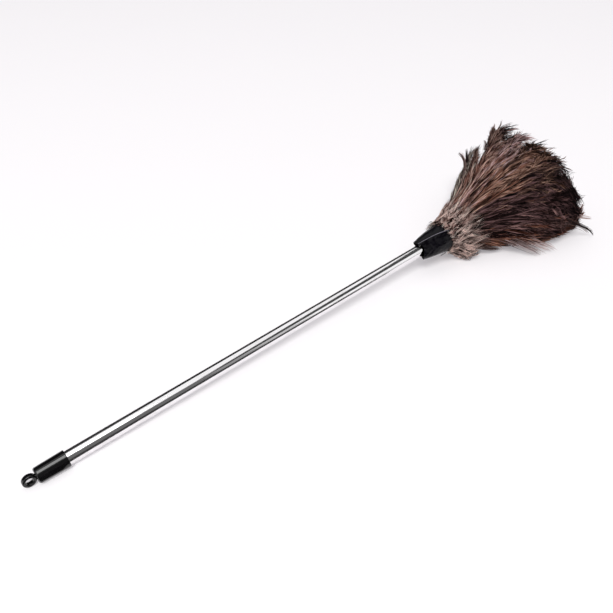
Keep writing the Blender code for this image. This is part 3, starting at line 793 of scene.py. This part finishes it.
class Plume:
    """Where one plume lies. A place on it is a distance from the cuff's rim, a share of its width
    to either side of the quill, and a lift off its surface."""

    def __init__(self, row, number):
        self.name, self.depth, self.lean, self.trim, reaches = PLUME_ROWS[row]
        self.row, self.number = row, number
        vars(self).update(USUAL_TRAITS)
        vars(self).update(OWN_TRAITS.get((self.name, number), {}))
        self.tip = reaches[number] * HEAD_REACH
        self.sector = 2 * math.pi / len(reaches)
        by_number, by_row, shift = JITTER_WAVE
        jitter = ANGLE_JITTER_SHARE * math.sin(by_number * number + by_row * row + shift)
        self.angle = self.sector * (number + FIRST_ANGLE_SHARE + jitter)
        self.start = FIRST_ROW_START + row * ROW_STEP

    def outline(self, width):
        """How far barbs may reach at a share of the plume's width to either side."""
        rounded = self.tip - self.trim - TIP_ROUND * np.abs(width) ** TIP_ROUND_POWER
        return rounded - self.slant * np.maximum(width, 0.0)

    def reach(self, place):
        return (place - CUFF_LENGTH) / (self.tip - CUFF_LENGTH)

    def settled(self, angle):
        """The plume's depth in the head once it has sunk a little, more on the near side."""
        return self.depth * mix(SETTLED_NEAR, SETTLED_FAR, 0.5 + 0.5 * np.cos(angle))

    def points(self, place, across, lift):
        """Points in world space."""
        place, across, lift = np.broadcast_arrays(place, across, lift)
        opened = smooth((place - CUFF_LENGTH) / VANE_OPENING)
        bound = quill_circle(self.row)
        half_width = mix(QUILL_RADIUS / bound, self.sector, opened)
        past_curl = np.clip((self.reach(place) - CURL_START_SHARE) / (1 - CURL_START_SHARE), 0.0, CURL_MOST)
        here = self.angle + half_width * across + self.hang * past_curl**2
        spread = mix(self.depth, self.settled(here), opened) * head_radius(place, here)
        radius = mix(bound, spread, smooth((place - WIRE_END) / SPREAD_BLEND))
        radius = radius * (1 + opened * (self.lean * across - VANE_ARCH_SHARE * across**2))
        radius = radius * (1 + self.curl * past_curl**2) + lift
        waist = WAIST_DEPTH * patch(here, place, *WAIST_PATCH)
        return from_pole(place, radius * (1 - waist), here)


plumes = [Plume(row, number) for row in range(ROWS) for number in range(len(PLUME_ROWS[row][-1]))]
print("plumes:", len(plumes))

# %% [markdown]
# ## Strands
#
# An ostrich plume has no closed vane. Hundreds of long loose barbs leave its quill at a slant and
# sweep towards the tip, and they stick together in pointed locks. Modelling each barb by hand is
# out of the question, so a function draws them: a barb is a thin tapered spike of three sides that
# follows a row of points. All the barbs of one plume are built at once and become one mesh.

# %% Tapered strands from rows of points
STRAND_SIDES = 3
FLOOR_CLEARANCE, SINKING_SHARE = 0.0004, 0.04
HEAD_TOP, RISING_SHARE = 0.192, 0.4
SELDOM_FOLLOWED = (0.31, 0.17, 0.93)
TINY = 1e-9


def rest_on_floor(points, radius):
    """Keeps strands from sinking into the floor, where they lie flat, and bends over the highest."""
    lowest = FLOOR_CLEARANCE + radius
    height = points[..., 2]
    height = np.where(height < lowest, lowest + SINKING_SHARE * np.abs(height - lowest), height)
    points[..., 2] = np.where(height > HEAD_TOP, HEAD_TOP + RISING_SHARE * (height - HEAD_TOP), height)
    return points


def unit(vectors):
    return vectors / np.maximum(np.linalg.norm(vectors, axis=2, keepdims=True), TINY)


def strand_mesh(paths, radii, tints, sides):
    """Closed spikes along paths, an array of strands by steps by xyz. Gives points, lists of faces
    and a colour for each point."""
    paths = rest_on_floor(paths, radii)
    heading = unit(np.gradient(paths, axis=1)[:, :-1])
    aside = unit(np.cross(heading, SELDOM_FOLLOWED))
    over = np.cross(heading, aside)
    turn = 2 * math.pi * np.arange(sides) / sides
    ring = np.cos(turn)[:, None] * aside[:, :, None] + np.sin(turn)[:, None] * over[:, :, None]
    rings = paths[:, :-1, None] + radii[:, :-1, None, None] * ring
    count, steps = rings.shape[:2]
    in_strand = steps * sides + 1
    verts = np.concatenate([rings.reshape(count, -1, 3), paths[:, -1:]], axis=1)
    painted = np.concatenate([np.repeat(tints[:, :-1], sides, axis=1), tints[:, -1:]], axis=1)
    index = np.arange(count)[:, None] * in_strand + np.arange(in_strand)
    point = index[:, -1:]
    index = index[:, :-1].reshape(count, steps, sides)
    after = np.roll(index, -1, axis=2)
    walls = np.stack([index[:, :-1], after[:, :-1], after[:, 1:], index[:, 1:]], axis=-1)
    spike = np.stack([index[:, -1], after[:, -1], np.repeat(point, sides, axis=1)], axis=-1)
    faces = walls.reshape(-1, 4).tolist() + spike.reshape(-1, 3).tolist() + index[:, 0, ::-1].tolist()
    return verts.reshape(-1, 3), faces, painted.reshape(-1, 3)


# %% [markdown]
# ## The colours of the plumes
#
# Undyed plumes run from near black through brown and rust to taupe, pale at the root, where the
# barbs are down, and often darker at the tip. Each plume has a recipe of four colours: root, body,
# tip and pale strands. Every lock picks its own tone from it, some locks take a neighbour's recipe,
# and the two-toned plume wears its neighbour's along one edge. The pale tones are partly the plumes'
# own paler barbs and partly a painted highlight for strands that catch the light; the darkest tones
# are partly the plumes' own dark barbs and partly a painted shade for the gaps between locks.

# %% Recipes for the plumes
SHADES = {
    "taupe": ((214, 186, 176), (158, 128, 122), (96, 74, 70), (236, 214, 208)),
    "charcoal": ((204, 178, 168), (138, 112, 106), (78, 64, 62), (226, 216, 202)),
    "brown": ((210, 178, 166), (136, 92, 80), (54, 36, 33), (222, 184, 170)),
    "rose": ((212, 180, 170), (146, 104, 96), (170, 134, 132), (238, 206, 206)),
    "rust": ((204, 168, 156), (138, 92, 76), (66, 44, 34), (218, 176, 156)),
    "dark": ((176, 146, 138), (78, 52, 50), (50, 34, 36), (180, 142, 138)),
    "night": ((140, 110, 104), (54, 35, 35), (34, 22, 24), (140, 108, 108)),
    "ember": ((172, 138, 126), (104, 60, 46), (84, 46, 36), (190, 140, 120)),
    "pale": ((228, 202, 190), (150, 116, 108), (206, 178, 176), (244, 224, 220)),
}
OUTER_SHADES = (
    "charcoal", "brown", "brown", "rose", "rust", "rust", "night", "night", "dark",
    "ember", "ember", "pale", "brown", "dark", "brown", "rust", "taupe", "charcoal",
)
INNER_SHADES = ("brown", "dark", "rust", "night", "taupe", "ember")
# Painted shade: the rows beneath the outer one are painted darker, the third row most, lifting towards the
# tips.
DEPTH_SHADE, DEPTH_SHADE_AT_TIP = {"outer": 0.92, "third": 0.12, "second": 0.2, "inner": 0.2}, 0.92
NEIGHBOUR_SHARE = 0.3
DARK_BELOW, DARK_POWER, DARKEST_SHARE = 0.56, 0.3, 0.005
PALE_ABOVE, PALE_POWER = 0.70, 0.6
REACH_NOISE = 0.07
BODY_FADE, TIP_FADE, LIGHT_FADE, DEPTH_SHADE_FADE = (0.02, 0.30), (0.62, 0.30), (0.72, 0.24), (0.72, 0.2)
TIP_DIMS_LIGHT, BODY_LEVEL = 0.65, 1.3
ROOT_LEVEL, END_LEVEL, LEVEL_POWER = 0.05, 1.3, 0.9
BLACKEST, WHITEST = 0.001, 0.92


def tint(red, green, blue):
    """The colour of paint() as three numbers to reckon with."""
    return np.array(paint(red, green, blue)[:3])


def recipe(plume, step=0):
    names = OUTER_SHADES if plume.name == "outer" else INNER_SHADES
    return np.array([tint(*colour) for colour in SHADES[names[(plume.number + step) % len(names)]]])


def fade(value, start, span):
    return smooth((value - start) / span)[..., None]


def colour_barbs(plume, place, width, s, lock, tone, chance):
    """A colour for each step of each barb: by its place on the plume, its lock and chance, with painted shade
    towards the roots and on the rows beneath.
    """
    locks = lock[-1] + 1
    step = np.where(chance.uniform(0, 1, locks) < NEIGHBOUR_SHARE, chance.choice((-1, 1), locks), 0)
    step = np.where(width[:, 0] > plume.two_toned, 1, step[lock])
    recipes = np.array([recipe(plume, turn) for turn in (0, 1, -1)])[step]
    root, body, tip, light = (recipes[:, part][:, None] for part in range(4))
    reach = plume.reach(place) + chance.normal(0, REACH_NOISE, locks)[lock][:, None]
    base = mix(root, body, fade(reach, *BODY_FADE))
    base = mix(base, tip, fade(reach, *TIP_FADE))
    # Dark locks: partly their own darker tone, partly a painted shade for the gaps between locks.
    dark = np.clip((DARK_BELOW - tone) / DARK_BELOW, 0, 1)[..., None]
    pale = np.clip((tone - PALE_ABOVE) / (1 - PALE_ABOVE), 0, 1)[..., None]
    base = BODY_LEVEL * base * mix(1.0, DARKEST_SHARE, dark**DARK_POWER)
    light = mix(light, tip, TIP_DIMS_LIGHT * fade(reach, *LIGHT_FADE))
    # Pale locks: partly their own paler tone, partly a painted highlight for strands that catch the light.
    base = mix(base, light, pale**PALE_POWER)
    # Painted shade: each barb is painted darker towards its root, where it lies deep among the others.
    shaded_root = mix(ROOT_LEVEL, END_LEVEL, s**LEVEL_POWER)[..., None]
    depth = mix(DEPTH_SHADE[plume.name], DEPTH_SHADE_AT_TIP, fade(reach, *DEPTH_SHADE_FADE))
    return np.clip(depth * base * shaded_root, BLACKEST, WHITEST)


# %% [markdown]
# ## Growing one plume
#
# Barbs are grown lock by lock. A lock has a start on the quill, a side, a length and a lift, and
# its barbs lie close together and draw in towards its point. Neighbouring locks bend the same way,
# as fur does where it was brushed, so two slow waves over the plume give the bend and the relief,
# and a third gives bands of lighter and darker tone. The tip of a plume is broad and round, because
# barbs near it still spread to both sides. Some locks fly off the surface and break up the outline.
# The numbers come from a seeded generator, so the head is the same at every run.

# %% Grow the barbs of a plume
LOCKS, LOCK_SIZE = {"outer": 812, "third": 250, "second": 180, "inner": 165}, 3
STEPS = {"outer": 6, "third": 5, "second": 5, "inner": 5}
LOOSENESS = {"outer": 1.0, "third": 1.6, "second": 2.6, "inner": 3.0}
BARB_RADIUS, BARB_TIP_SHARE, TAPER_POWER = 0.00074, 0.25, 1.6
THICKNESS, PALE_THICKER = (0.7, 1.1), 0.35
BARB_LENGTH, SHORTEST_BARB, FULL_LENGTH_FROM = (0.024, 0.068), 0.012, 0.2
ROOT_DEPTH, START_SHARE, START_POWER = 0.006, 0.97, 0.9
WIDTH, WIDTH_POWER, FRINGE = (0.08, 1.0), 0.66, (-0.022, 0.010)
LOCK_LIFT, LIFT_POWER, LEAST_LIFT = (-0.003, 0.004), 1.4, 0.0006
BRUSHED_BEND, BRUSHED_WAVES = 0.15, (9, 2.5)
BRUSHED_RELIEF, RELIEF_WAVES = 0.005, (13, -4)
TONE_BANDS, TONE_WAVES, TONE_NOISE = 0.22, (4, 15), 0.10
BOW, DRIFT, RIPPLE = (-0.10, 0.10), (-0.08, 0.08), (0.0, 0.09)
START_NOISE, END_NOISE, WIDTH_NOISE, LIFT_NOISE = 0.002, 0.004, 0.03, 0.0012
DRAWN_IN, DRAWN_IN_POWER = 0.8, 1.3
FLYAWAY_SHARE, FLYAWAY_LIFT = 0.12, (0.004, 0.010)
FULL_TURN = 2 * math.pi


def drawer(chance, count, lock=slice(None)):
    """A function that draws a number for each lock, and hands it to all strands of the lock."""
    return lambda low, high: chance.uniform(low, high, count)[lock][:, None]


def grow_barbs(plume, chance):
    """Paths, radii and colours of one plume's barbs."""
    locks = LOCKS[plume.name]
    lock = np.repeat(np.arange(locks), LOCK_SIZE)
    per_lock = drawer(chance, locks, lock)

    def stray(size):
        return chance.normal(0, size, (len(lock), 1))

    share = (lock[:, None] + per_lock(0, 1)) / locks
    span = plume.tip - CUFF_LENGTH + ROOT_DEPTH
    start = CUFF_LENGTH - ROOT_DEPTH + span * START_SHARE * share**START_POWER
    width = np.where(per_lock(0, 1) < 0.5, -plume.sides[0], plume.sides[1])
    width = per_lock(*WIDTH) * width
    length = per_lock(*BARB_LENGTH) * (0.5 + 0.5 * np.sin(math.pi * np.clip(share + FULL_LENGTH_FROM, 0, 1)))
    outline = plume.outline(width) + per_lock(*FRINGE)
    end = np.maximum(np.minimum(start + length, outline), start + SHORTEST_BARB)
    phases = chance.uniform(0, FULL_TURN, 3)
    waves = (BRUSHED_WAVES, RELIEF_WAVES, TONE_WAVES)
    brushed, relief, banded = (np.sin(a * share + b * width + c) for (a, b), c in zip(waves, phases))
    flies = per_lock(0, 1) < FLYAWAY_SHARE
    lift = np.where(flies, per_lock(*FLYAWAY_LIFT), BRUSHED_RELIEF * relief + per_lock(*LOCK_LIFT))
    lift = LOOSENESS[plume.name] * lift
    bow = per_lock(*BOW) + BRUSHED_BEND * brushed
    drift = per_lock(*DRIFT) + BRUSHED_BEND * brushed
    ripple, phase = per_lock(*RIPPLE), per_lock(0, FULL_TURN)
    s = np.linspace(0, 1, STEPS[plume.name])[None, :]
    apart = 1 - DRAWN_IN * s**DRAWN_IN_POWER
    place = mix(start + stray(START_NOISE) * apart, end + stray(END_NOISE), s)
    across = (width + stray(WIDTH_NOISE) * apart) * s**WIDTH_POWER + drift * s**2
    across = across + bow * np.sin(math.pi * s) + ripple * np.sin(FULL_TURN * s + phase) * s
    raised = (lift + stray(LIFT_NOISE) * apart) * s**LIFT_POWER
    paths = plume.points(place, across, raised + LEAST_LIFT)
    tone = per_lock(0, 1) + TONE_BANDS * banded + stray(TONE_NOISE)
    thickness = chance.uniform(*THICKNESS, (len(lock), 1)) + PALE_THICKER * (tone > PALE_ABOVE)
    radius = BARB_RADIUS * thickness * mix(1.0, BARB_TIP_SHARE, s**TAPER_POWER)
    return paths, radius, colour_barbs(plume, place, width, s, lock, tone, chance)


# %% [markdown]
# Fine single hairs stand off the surface and past the tips. They are thinner than the barbs, so
# from a distance they only soften the outline.

# %% Grow the fine hairs of a plume
HAIR_COUNT, HAIR_STEPS = 300, 5
HAIR_RADIUS, HAIR_THICKNESS, HAIR_LENGTH = 0.00042, (0.7, 1.3), (0.010, 0.030)
HAIR_FROM, HAIR_BACK, TOWARDS_TIP_POWER = 0.03, 0.008, 0.3
HAIR_SPREAD, HAIR_SWAY = (0, 0.35), (-0.2, 0.2)
HAIR_LIFT, HAIR_RISE, HAIR_BEND = 0.002, (0.0, 0.008), (-0.002, 0.002)
HAIR_DARK_SHARE = 0.2


def grow_hairs(plume, chance):
    s = np.linspace(0, 1, HAIR_STEPS)[None, :]
    each = drawer(chance, HAIR_COUNT)
    width = each(-1, 1)
    width = width * np.where(width < 0, *plume.sides)
    start = mix(CUFF_LENGTH + HAIR_FROM, plume.outline(width), each(0, 1) ** TOWARDS_TIP_POWER) - HAIR_BACK
    place = start + each(*HAIR_LENGTH) * s
    across = width + (np.sign(width) * each(*HAIR_SPREAD) + each(*HAIR_SWAY)) * s
    lift = HAIR_LIFT + each(*HAIR_RISE) * s + each(*HAIR_BEND) * s**2
    radius = HAIR_RADIUS * each(*HAIR_THICKNESS) * mix(1.0, BARB_TIP_SHARE, s)
    body, light = recipe(plume)[1], recipe(plume)[3]
    colours = mix(HAIR_DARK_SHARE * body, light, (each(0, 1) ** 3)[..., None])
    return plume.points(place, across, lift), radius, np.broadcast_to(colours, (HAIR_COUNT, HAIR_STEPS, 3))


# %% [markdown]
# A few tufts stray from the outer plumes: a hook at the tip that lies farthest back, dark tufts
# beside the tallest plume, a bent quill that droops to the floor, and a pale fringe along the
# underside. Each is a bundle of barbs along a curve through three chosen points, given as the
# distance from the cuff's rim, the degrees round the pole and the lift off the surface.

# %% Grow the stray tufts of a plume
INK, TAUPE, ROSY = tint(40, 30, 30), tint(178, 150, 144), tint(232, 204, 202)
STRAY_TUFTS = (
    (0, 40, 0.0030, (INK, TAUPE), ((0.215, 30, 0.000), (0.244, 27, 0.014), (0.250, 25, 0.034))),
    (0, 22, 0.0022, (INK, INK), ((0.225, 31, 0.000), (0.250, 29, 0.012), (0.262, 30, 0.025))),
    (2, 18, 0.0020, (INK, INK), ((0.285, 46, 0.000), (0.303, 43, 0.010), (0.308, 41, 0.018))),
    (2, 44, 0.0055, (INK, INK), ((0.276, 52, 0.004), (0.296, 50, 0.013), (0.312, 48, 0.022))),
    (2, 14, 0.0018, (INK, TAUPE), ((0.270, 45, 0.000), (0.288, 42, 0.008), (0.292, 40, 0.014))),
    (6, 16, 0.0014, (INK, INK), ((0.255, 131, 0.004), (0.285, 133, 0.009), (0.306, 133, 0.008))),
    (8, 26, 0.0014, (INK, INK), ((0.290, 184, 0.006), (0.350, 198, 0.022), (0.360, 202, 0.042))),
    (8, 14, 0.0030, (INK, TAUPE), ((0.290, 184, 0.006), (0.340, 197, 0.016), (0.352, 201, 0.033))),
    (8, 10, 0.0030, (TAUPE, ROSY), ((0.330, 186, 0.006), (0.355, 191, 0.012), (0.374, 195, 0.014))),
    (11, 80, 0.0065, (INK, TAUPE), ((0.112, 222, 0.000), (0.146, 220, 0.008), (0.176, 220, 0.010))),
    (9, 30, 0.0080, (INK, ROSY), ((0.180, 198, 0.000), (0.208, 203, 0.016), (0.228, 206, 0.034))),
    (9, 26, 0.0090, (TAUPE, ROSY), ((0.210, 197, 0.000), (0.240, 202, 0.014), (0.254, 204, 0.030))),
)
TUFT_THICKNESS, TUFT_RADIUS, TUFT_DRAWN_IN, TUFT_LIGHT = (0.5, 0.9), 0.12, (1.0, 0.5), (0.6, 1.0)


def through(points, s):
    """The curve through three points, at shares s of its length."""
    first, middle, last = np.array(points)
    return first * (1 - s) * (1 - 2 * s) + middle * 4 * s * (1 - s) + last * s * (2 * s - 1)


def grow_tufts(plume, chance):
    blocks = []
    s = np.linspace(0, 1, HAIR_STEPS)[:, None]
    for number, count, spread, (dark, light), points in STRAY_TUFTS:
        if number != plume.number:
            continue
        place, degrees, lift = through(points, s).T
        apart = chance.normal(0, spread, (3, count, 1)) * mix(*TUFT_DRAWN_IN, s.T)
        angle = np.radians(degrees) + apart[1] / TUFT_RADIUS
        place = place + apart[0]
        radius = plume.settled(angle) * head_radius(place, angle) + lift + 0.5 * apart[2]
        thickness = BARB_RADIUS * chance.uniform(*TUFT_THICKNESS, (count, 1)) * mix(1.0, BARB_TIP_SHARE, s.T)
        tints = mix(dark, light, chance.uniform(0, 1, (count, 1, 1)) * mix(*TUFT_LIGHT, s.T)[..., None])
        blocks.append((from_pole(place, radius, angle), thickness, tints))
    return [np.concatenate(column) for column in zip(*blocks)]


# %% [markdown]
# The quill is a tapered rod down the middle of the plume, horn pale at the root. On most plumes the
# barbs cover it. Where a plume stands on its edge it lies bare and shows as a fine light line.

# %% Grow the quill of a plume
QUILL_STEPS, QUILL_SIDES = 26, 8
QUILL_TIP_RADIUS, QUILL_TAPER_POWER, QUILL_SHORT = 0.0003, 0.8, 0.012
HORN_PALE, HORN_DARK = tint(226, 206, 192), tint(176, 150, 138)


def grow_quill(plume):
    s = np.linspace(0, 1, QUILL_STEPS)
    place = mix(plume.start, plume.tip - QUILL_SHORT, s)
    radius = mix(QUILL_RADIUS, QUILL_TIP_RADIUS, s**QUILL_TAPER_POWER)
    lift = plume.quill_lift * smooth((place - CUFF_LENGTH) / VANE_OPENING)
    paths = plume.points(place, np.zeros_like(place), lift)
    return paths[None], radius[None], mix(HORN_PALE, HORN_DARK, s[:, None])[None]


# %% [markdown]
# ## Down at the cuff
#
# Where the plumes leave the cuff their barbs are short down that puffs out past the mouth and falls
# back over the leathercloth, mostly on top. Each outer plume carries its share of it. On the side
# that faces the floor the down hangs in a loose pale ball, and each lock curls in and out of it.

# %% Grow the down of a plume
DOWN_COUNT, DOWN_LOCK = 380, 4
FALLS_BACK, FALLS_BACK_ON_TOP = 0.04, 0.18
GOES_ON, TURNS_BACK, BACKWARDS = (0.018, 0.055), (0.004, 0.012), (0.006, 0.011)
MOUTH_DEPTH, DOWN_START, ROOT_SHARE, OVER_CUFF = 0.003, (0.0, 0.022), 0.93, CUFF_WALL + 0.0015
DOWN_FAN, DOWN_SWEEP, DOWN_WAVE = (-0.75, 0.75), (-0.45, 0.45), (-0.12, 0.12)
DOWN_PUFF, DOWN_THICKNESS = (0.0, 0.007), (0.6, 1.0)
BALL_PATCH = (math.radians(238.0), 0.60, 0.108, 0.022)
BALL_PUFF, BALL_PUFF_SHARE, BALL_CURL = 0.020, (0.55, 1.05), 0.25
DOWN_TINT, DOWN_LIGHT = tint(178, 138, 130), tint(246, 218, 208)
DOWN_TONES, LIGHT_TONES, BALL_TONES, BALL_TONE_POWER = (3.5, 1.2), (3.5, 1.9), (2.6, 0.5), 0.25
DOWN_DARK, BODY_SHARE, DOWN_ROOT_SHADE = 0.05, (0, 0.8), (0.3, 1.3)
ANGLE_NOISE, PUFF_NOISE, RISE_RATE, FALL_POWER, TOP_SHIFT = 0.08, 0.001, 2.2, 0.8, 0.2


def toned(tone, gain, offset):
    return np.clip(tone * gain - offset, 0, 1)


def grow_down(plume, chance):
    """Short strands that leave the mouth, some falling back over the cuff and more going on."""
    lock = np.arange(DOWN_COUNT) // DOWN_LOCK
    per_lock = drawer(chance, int(lock[-1]) + 1, lock)

    def stray(size):
        return chance.normal(0, size, (DOWN_COUNT, 1))

    s = np.linspace(0, 1, HAIR_STEPS)[None, :]
    on_top = 0.5 + 0.5 * math.sin(plume.angle - TOP_SHIFT)
    back = per_lock(0, 1) < FALLS_BACK + FALLS_BACK_ON_TOP * on_top
    forward = np.where(back, per_lock(*TURNS_BACK), per_lock(*GOES_ON))
    backward = np.where(back, per_lock(*BACKWARDS), 0.0)
    wave = np.where(back, np.sin(math.pi * s**FALL_POWER), s)
    place = CUFF_LENGTH - MOUTH_DEPTH + per_lock(*DOWN_START) + forward * wave - backward * s**2
    angle = plume.angle + (per_lock(*DOWN_FAN) + stray(ANGLE_NOISE)) * plume.sector
    angle = angle + per_lock(*DOWN_SWEEP) * s + per_lock(*DOWN_WAVE) * np.sin(FULL_TURN * s)
    outline = np.where(place > CUFF_LENGTH, head_radius(place, angle), cuff_inner_radius(place) + OVER_CUFF)
    ball = patch(angle, place, *BALL_PATCH)
    puff = np.abs(per_lock(*DOWN_PUFF) + stray(PUFF_NOISE))
    curl = 1 + BALL_CURL * np.sin(3 * math.pi * s + per_lock(0, FULL_TURN))
    puff = puff + BALL_PUFF * ball * per_lock(*BALL_PUFF_SHARE) * curl
    radius = mix(ROOT_SHARE * MOUTH_RADIUS, outline + puff, smooth(s * RISE_RATE))
    thickness = BARB_RADIUS * chance.uniform(*DOWN_THICKNESS, (DOWN_COUNT, 1)) * mix(1.0, BARB_TIP_SHARE, s)
    tone = per_lock(0, 1)[..., None]
    body = recipe(plume)[1]
    down = mix(DOWN_TINT, body, per_lock(*BODY_SHARE)[..., None])
    colours = mix(DOWN_DARK * body, down, toned(tone, *DOWN_TONES))
    # Painted shade: the down is painted darker towards its root at the mouth of the cuff.
    colours = mix(colours, DOWN_LIGHT, toned(tone, *LIGHT_TONES)) * mix(*DOWN_ROOT_SHADE, s)[..., None]
    colours = mix(colours, DOWN_LIGHT, ball[..., None] ** BALL_TONE_POWER * toned(tone, *BALL_TONES))
    return from_pole(place, radius, angle), thickness, np.clip(colours, BLACKEST, WHITEST)


# %% [markdown]
# ## The finish of the plumes
#
# The barbs carry their colours as an attribute, painted point by point above. The material adds
# what is finer than a barb: a soft break-up of tone, and a nap of tiny barbules that scatter light,
# which a fine bump stands for. The quill is smooth horn, so it has a finish of its own.

# %% Materials of barbs and quill


def plume_finish(name, roughness, nap, **constants):
    material, tree, shader = new_finish(name, **constants)
    own = node(tree, "Attribute", attribute_name="barb_colour").outputs["Color"]
    place = coordinates(tree)
    mottle = noise(tree, place, 110.0, 4.0)
    fine = noise(tree, place, 1500.0, 2.0)
    lighter = remap(tree, mottle, 0.25, 0.75, 0.72, 1.28)
    lighter = combine(tree, "MULTIPLY", lighter, remap(tree, fine, 0.3, 0.7, 0.85, 1.15))
    toned = wire(tree, node(tree, "VectorMath", operation="SCALE"), own, Scale=lighter)
    wire(
        tree, shader, Base_Color=toned.outputs[0],
        Roughness=remap(tree, fine, 0.2, 0.8, roughness - 0.1, roughness + 0.1),
        Normal=bump(tree, fine, nap, 0.0003),
    )
    return material


BARBS = plume_finish("ostrich_barbs", 0.7, 0.5, Specular_IOR_Level=0.03)
QUILL = plume_finish("quill_horn", 0.42, 0.1)
print("finishes:", BARBS.name, "and", QUILL.name)

# %% [markdown]
# ## Assemble the head
#
# One mesh for each plume: its barbs, its quill and, in the outer row, its hairs, down and tufts.

# %% Build every plume


def make_plume(plume):
    chance = np.random.default_rng(100 * plume.row + plume.number)
    grown = [grow_barbs(plume, chance)]
    if plume.name == "outer":
        grown += [grow_hairs(plume, chance), grow_down(plume, chance), grow_tufts(plume, chance)]
    parts = [(part, STRAND_SIDES) for part in grown if part] + [(grow_quill(plume), QUILL_SIDES)]
    verts, faces, finishes, colours = [], [], [], []
    for part, sides in parts:
        points, spikes, painted = strand_mesh(*part, sides)
        first = sum(len(block) for block in verts)
        verts.append(points)
        faces += [[corner + first for corner in spike] for spike in spikes]
        finishes += [int(sides == QUILL_SIDES)] * len(spikes)
        colours.append(painted)
    name = f"plume_{plume.name}_{plume.number + 1:02d}"
    mesh = bpy.data.meshes.new(name + "_barbs")
    mesh.from_pydata(np.concatenate(verts).tolist(), [], faces)
    mesh.materials.append(BARBS)
    mesh.materials.append(QUILL)
    mesh.polygons.foreach_set("material_index", finishes)
    barb_colour = mesh.attributes.new("barb_colour", "FLOAT_COLOR", "POINT")
    opaque = np.pad(np.concatenate(colours), ((0, 0), (0, 1)), constant_values=1.0)
    barb_colour.data.foreach_set("color", opaque.ravel())
    mesh.shade_smooth()
    piece = add_object(name + "_barbs", mesh)
    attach(piece, "duster")
    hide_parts(name)
    mesh.calc_loop_triangles()
    return len(mesh.loop_triangles)


print("triangles in the head:", sum(make_plume(plume) for plume in plumes))

# %% [markdown]
# ## The size
#
# The dressed duster has to keep the measured size.
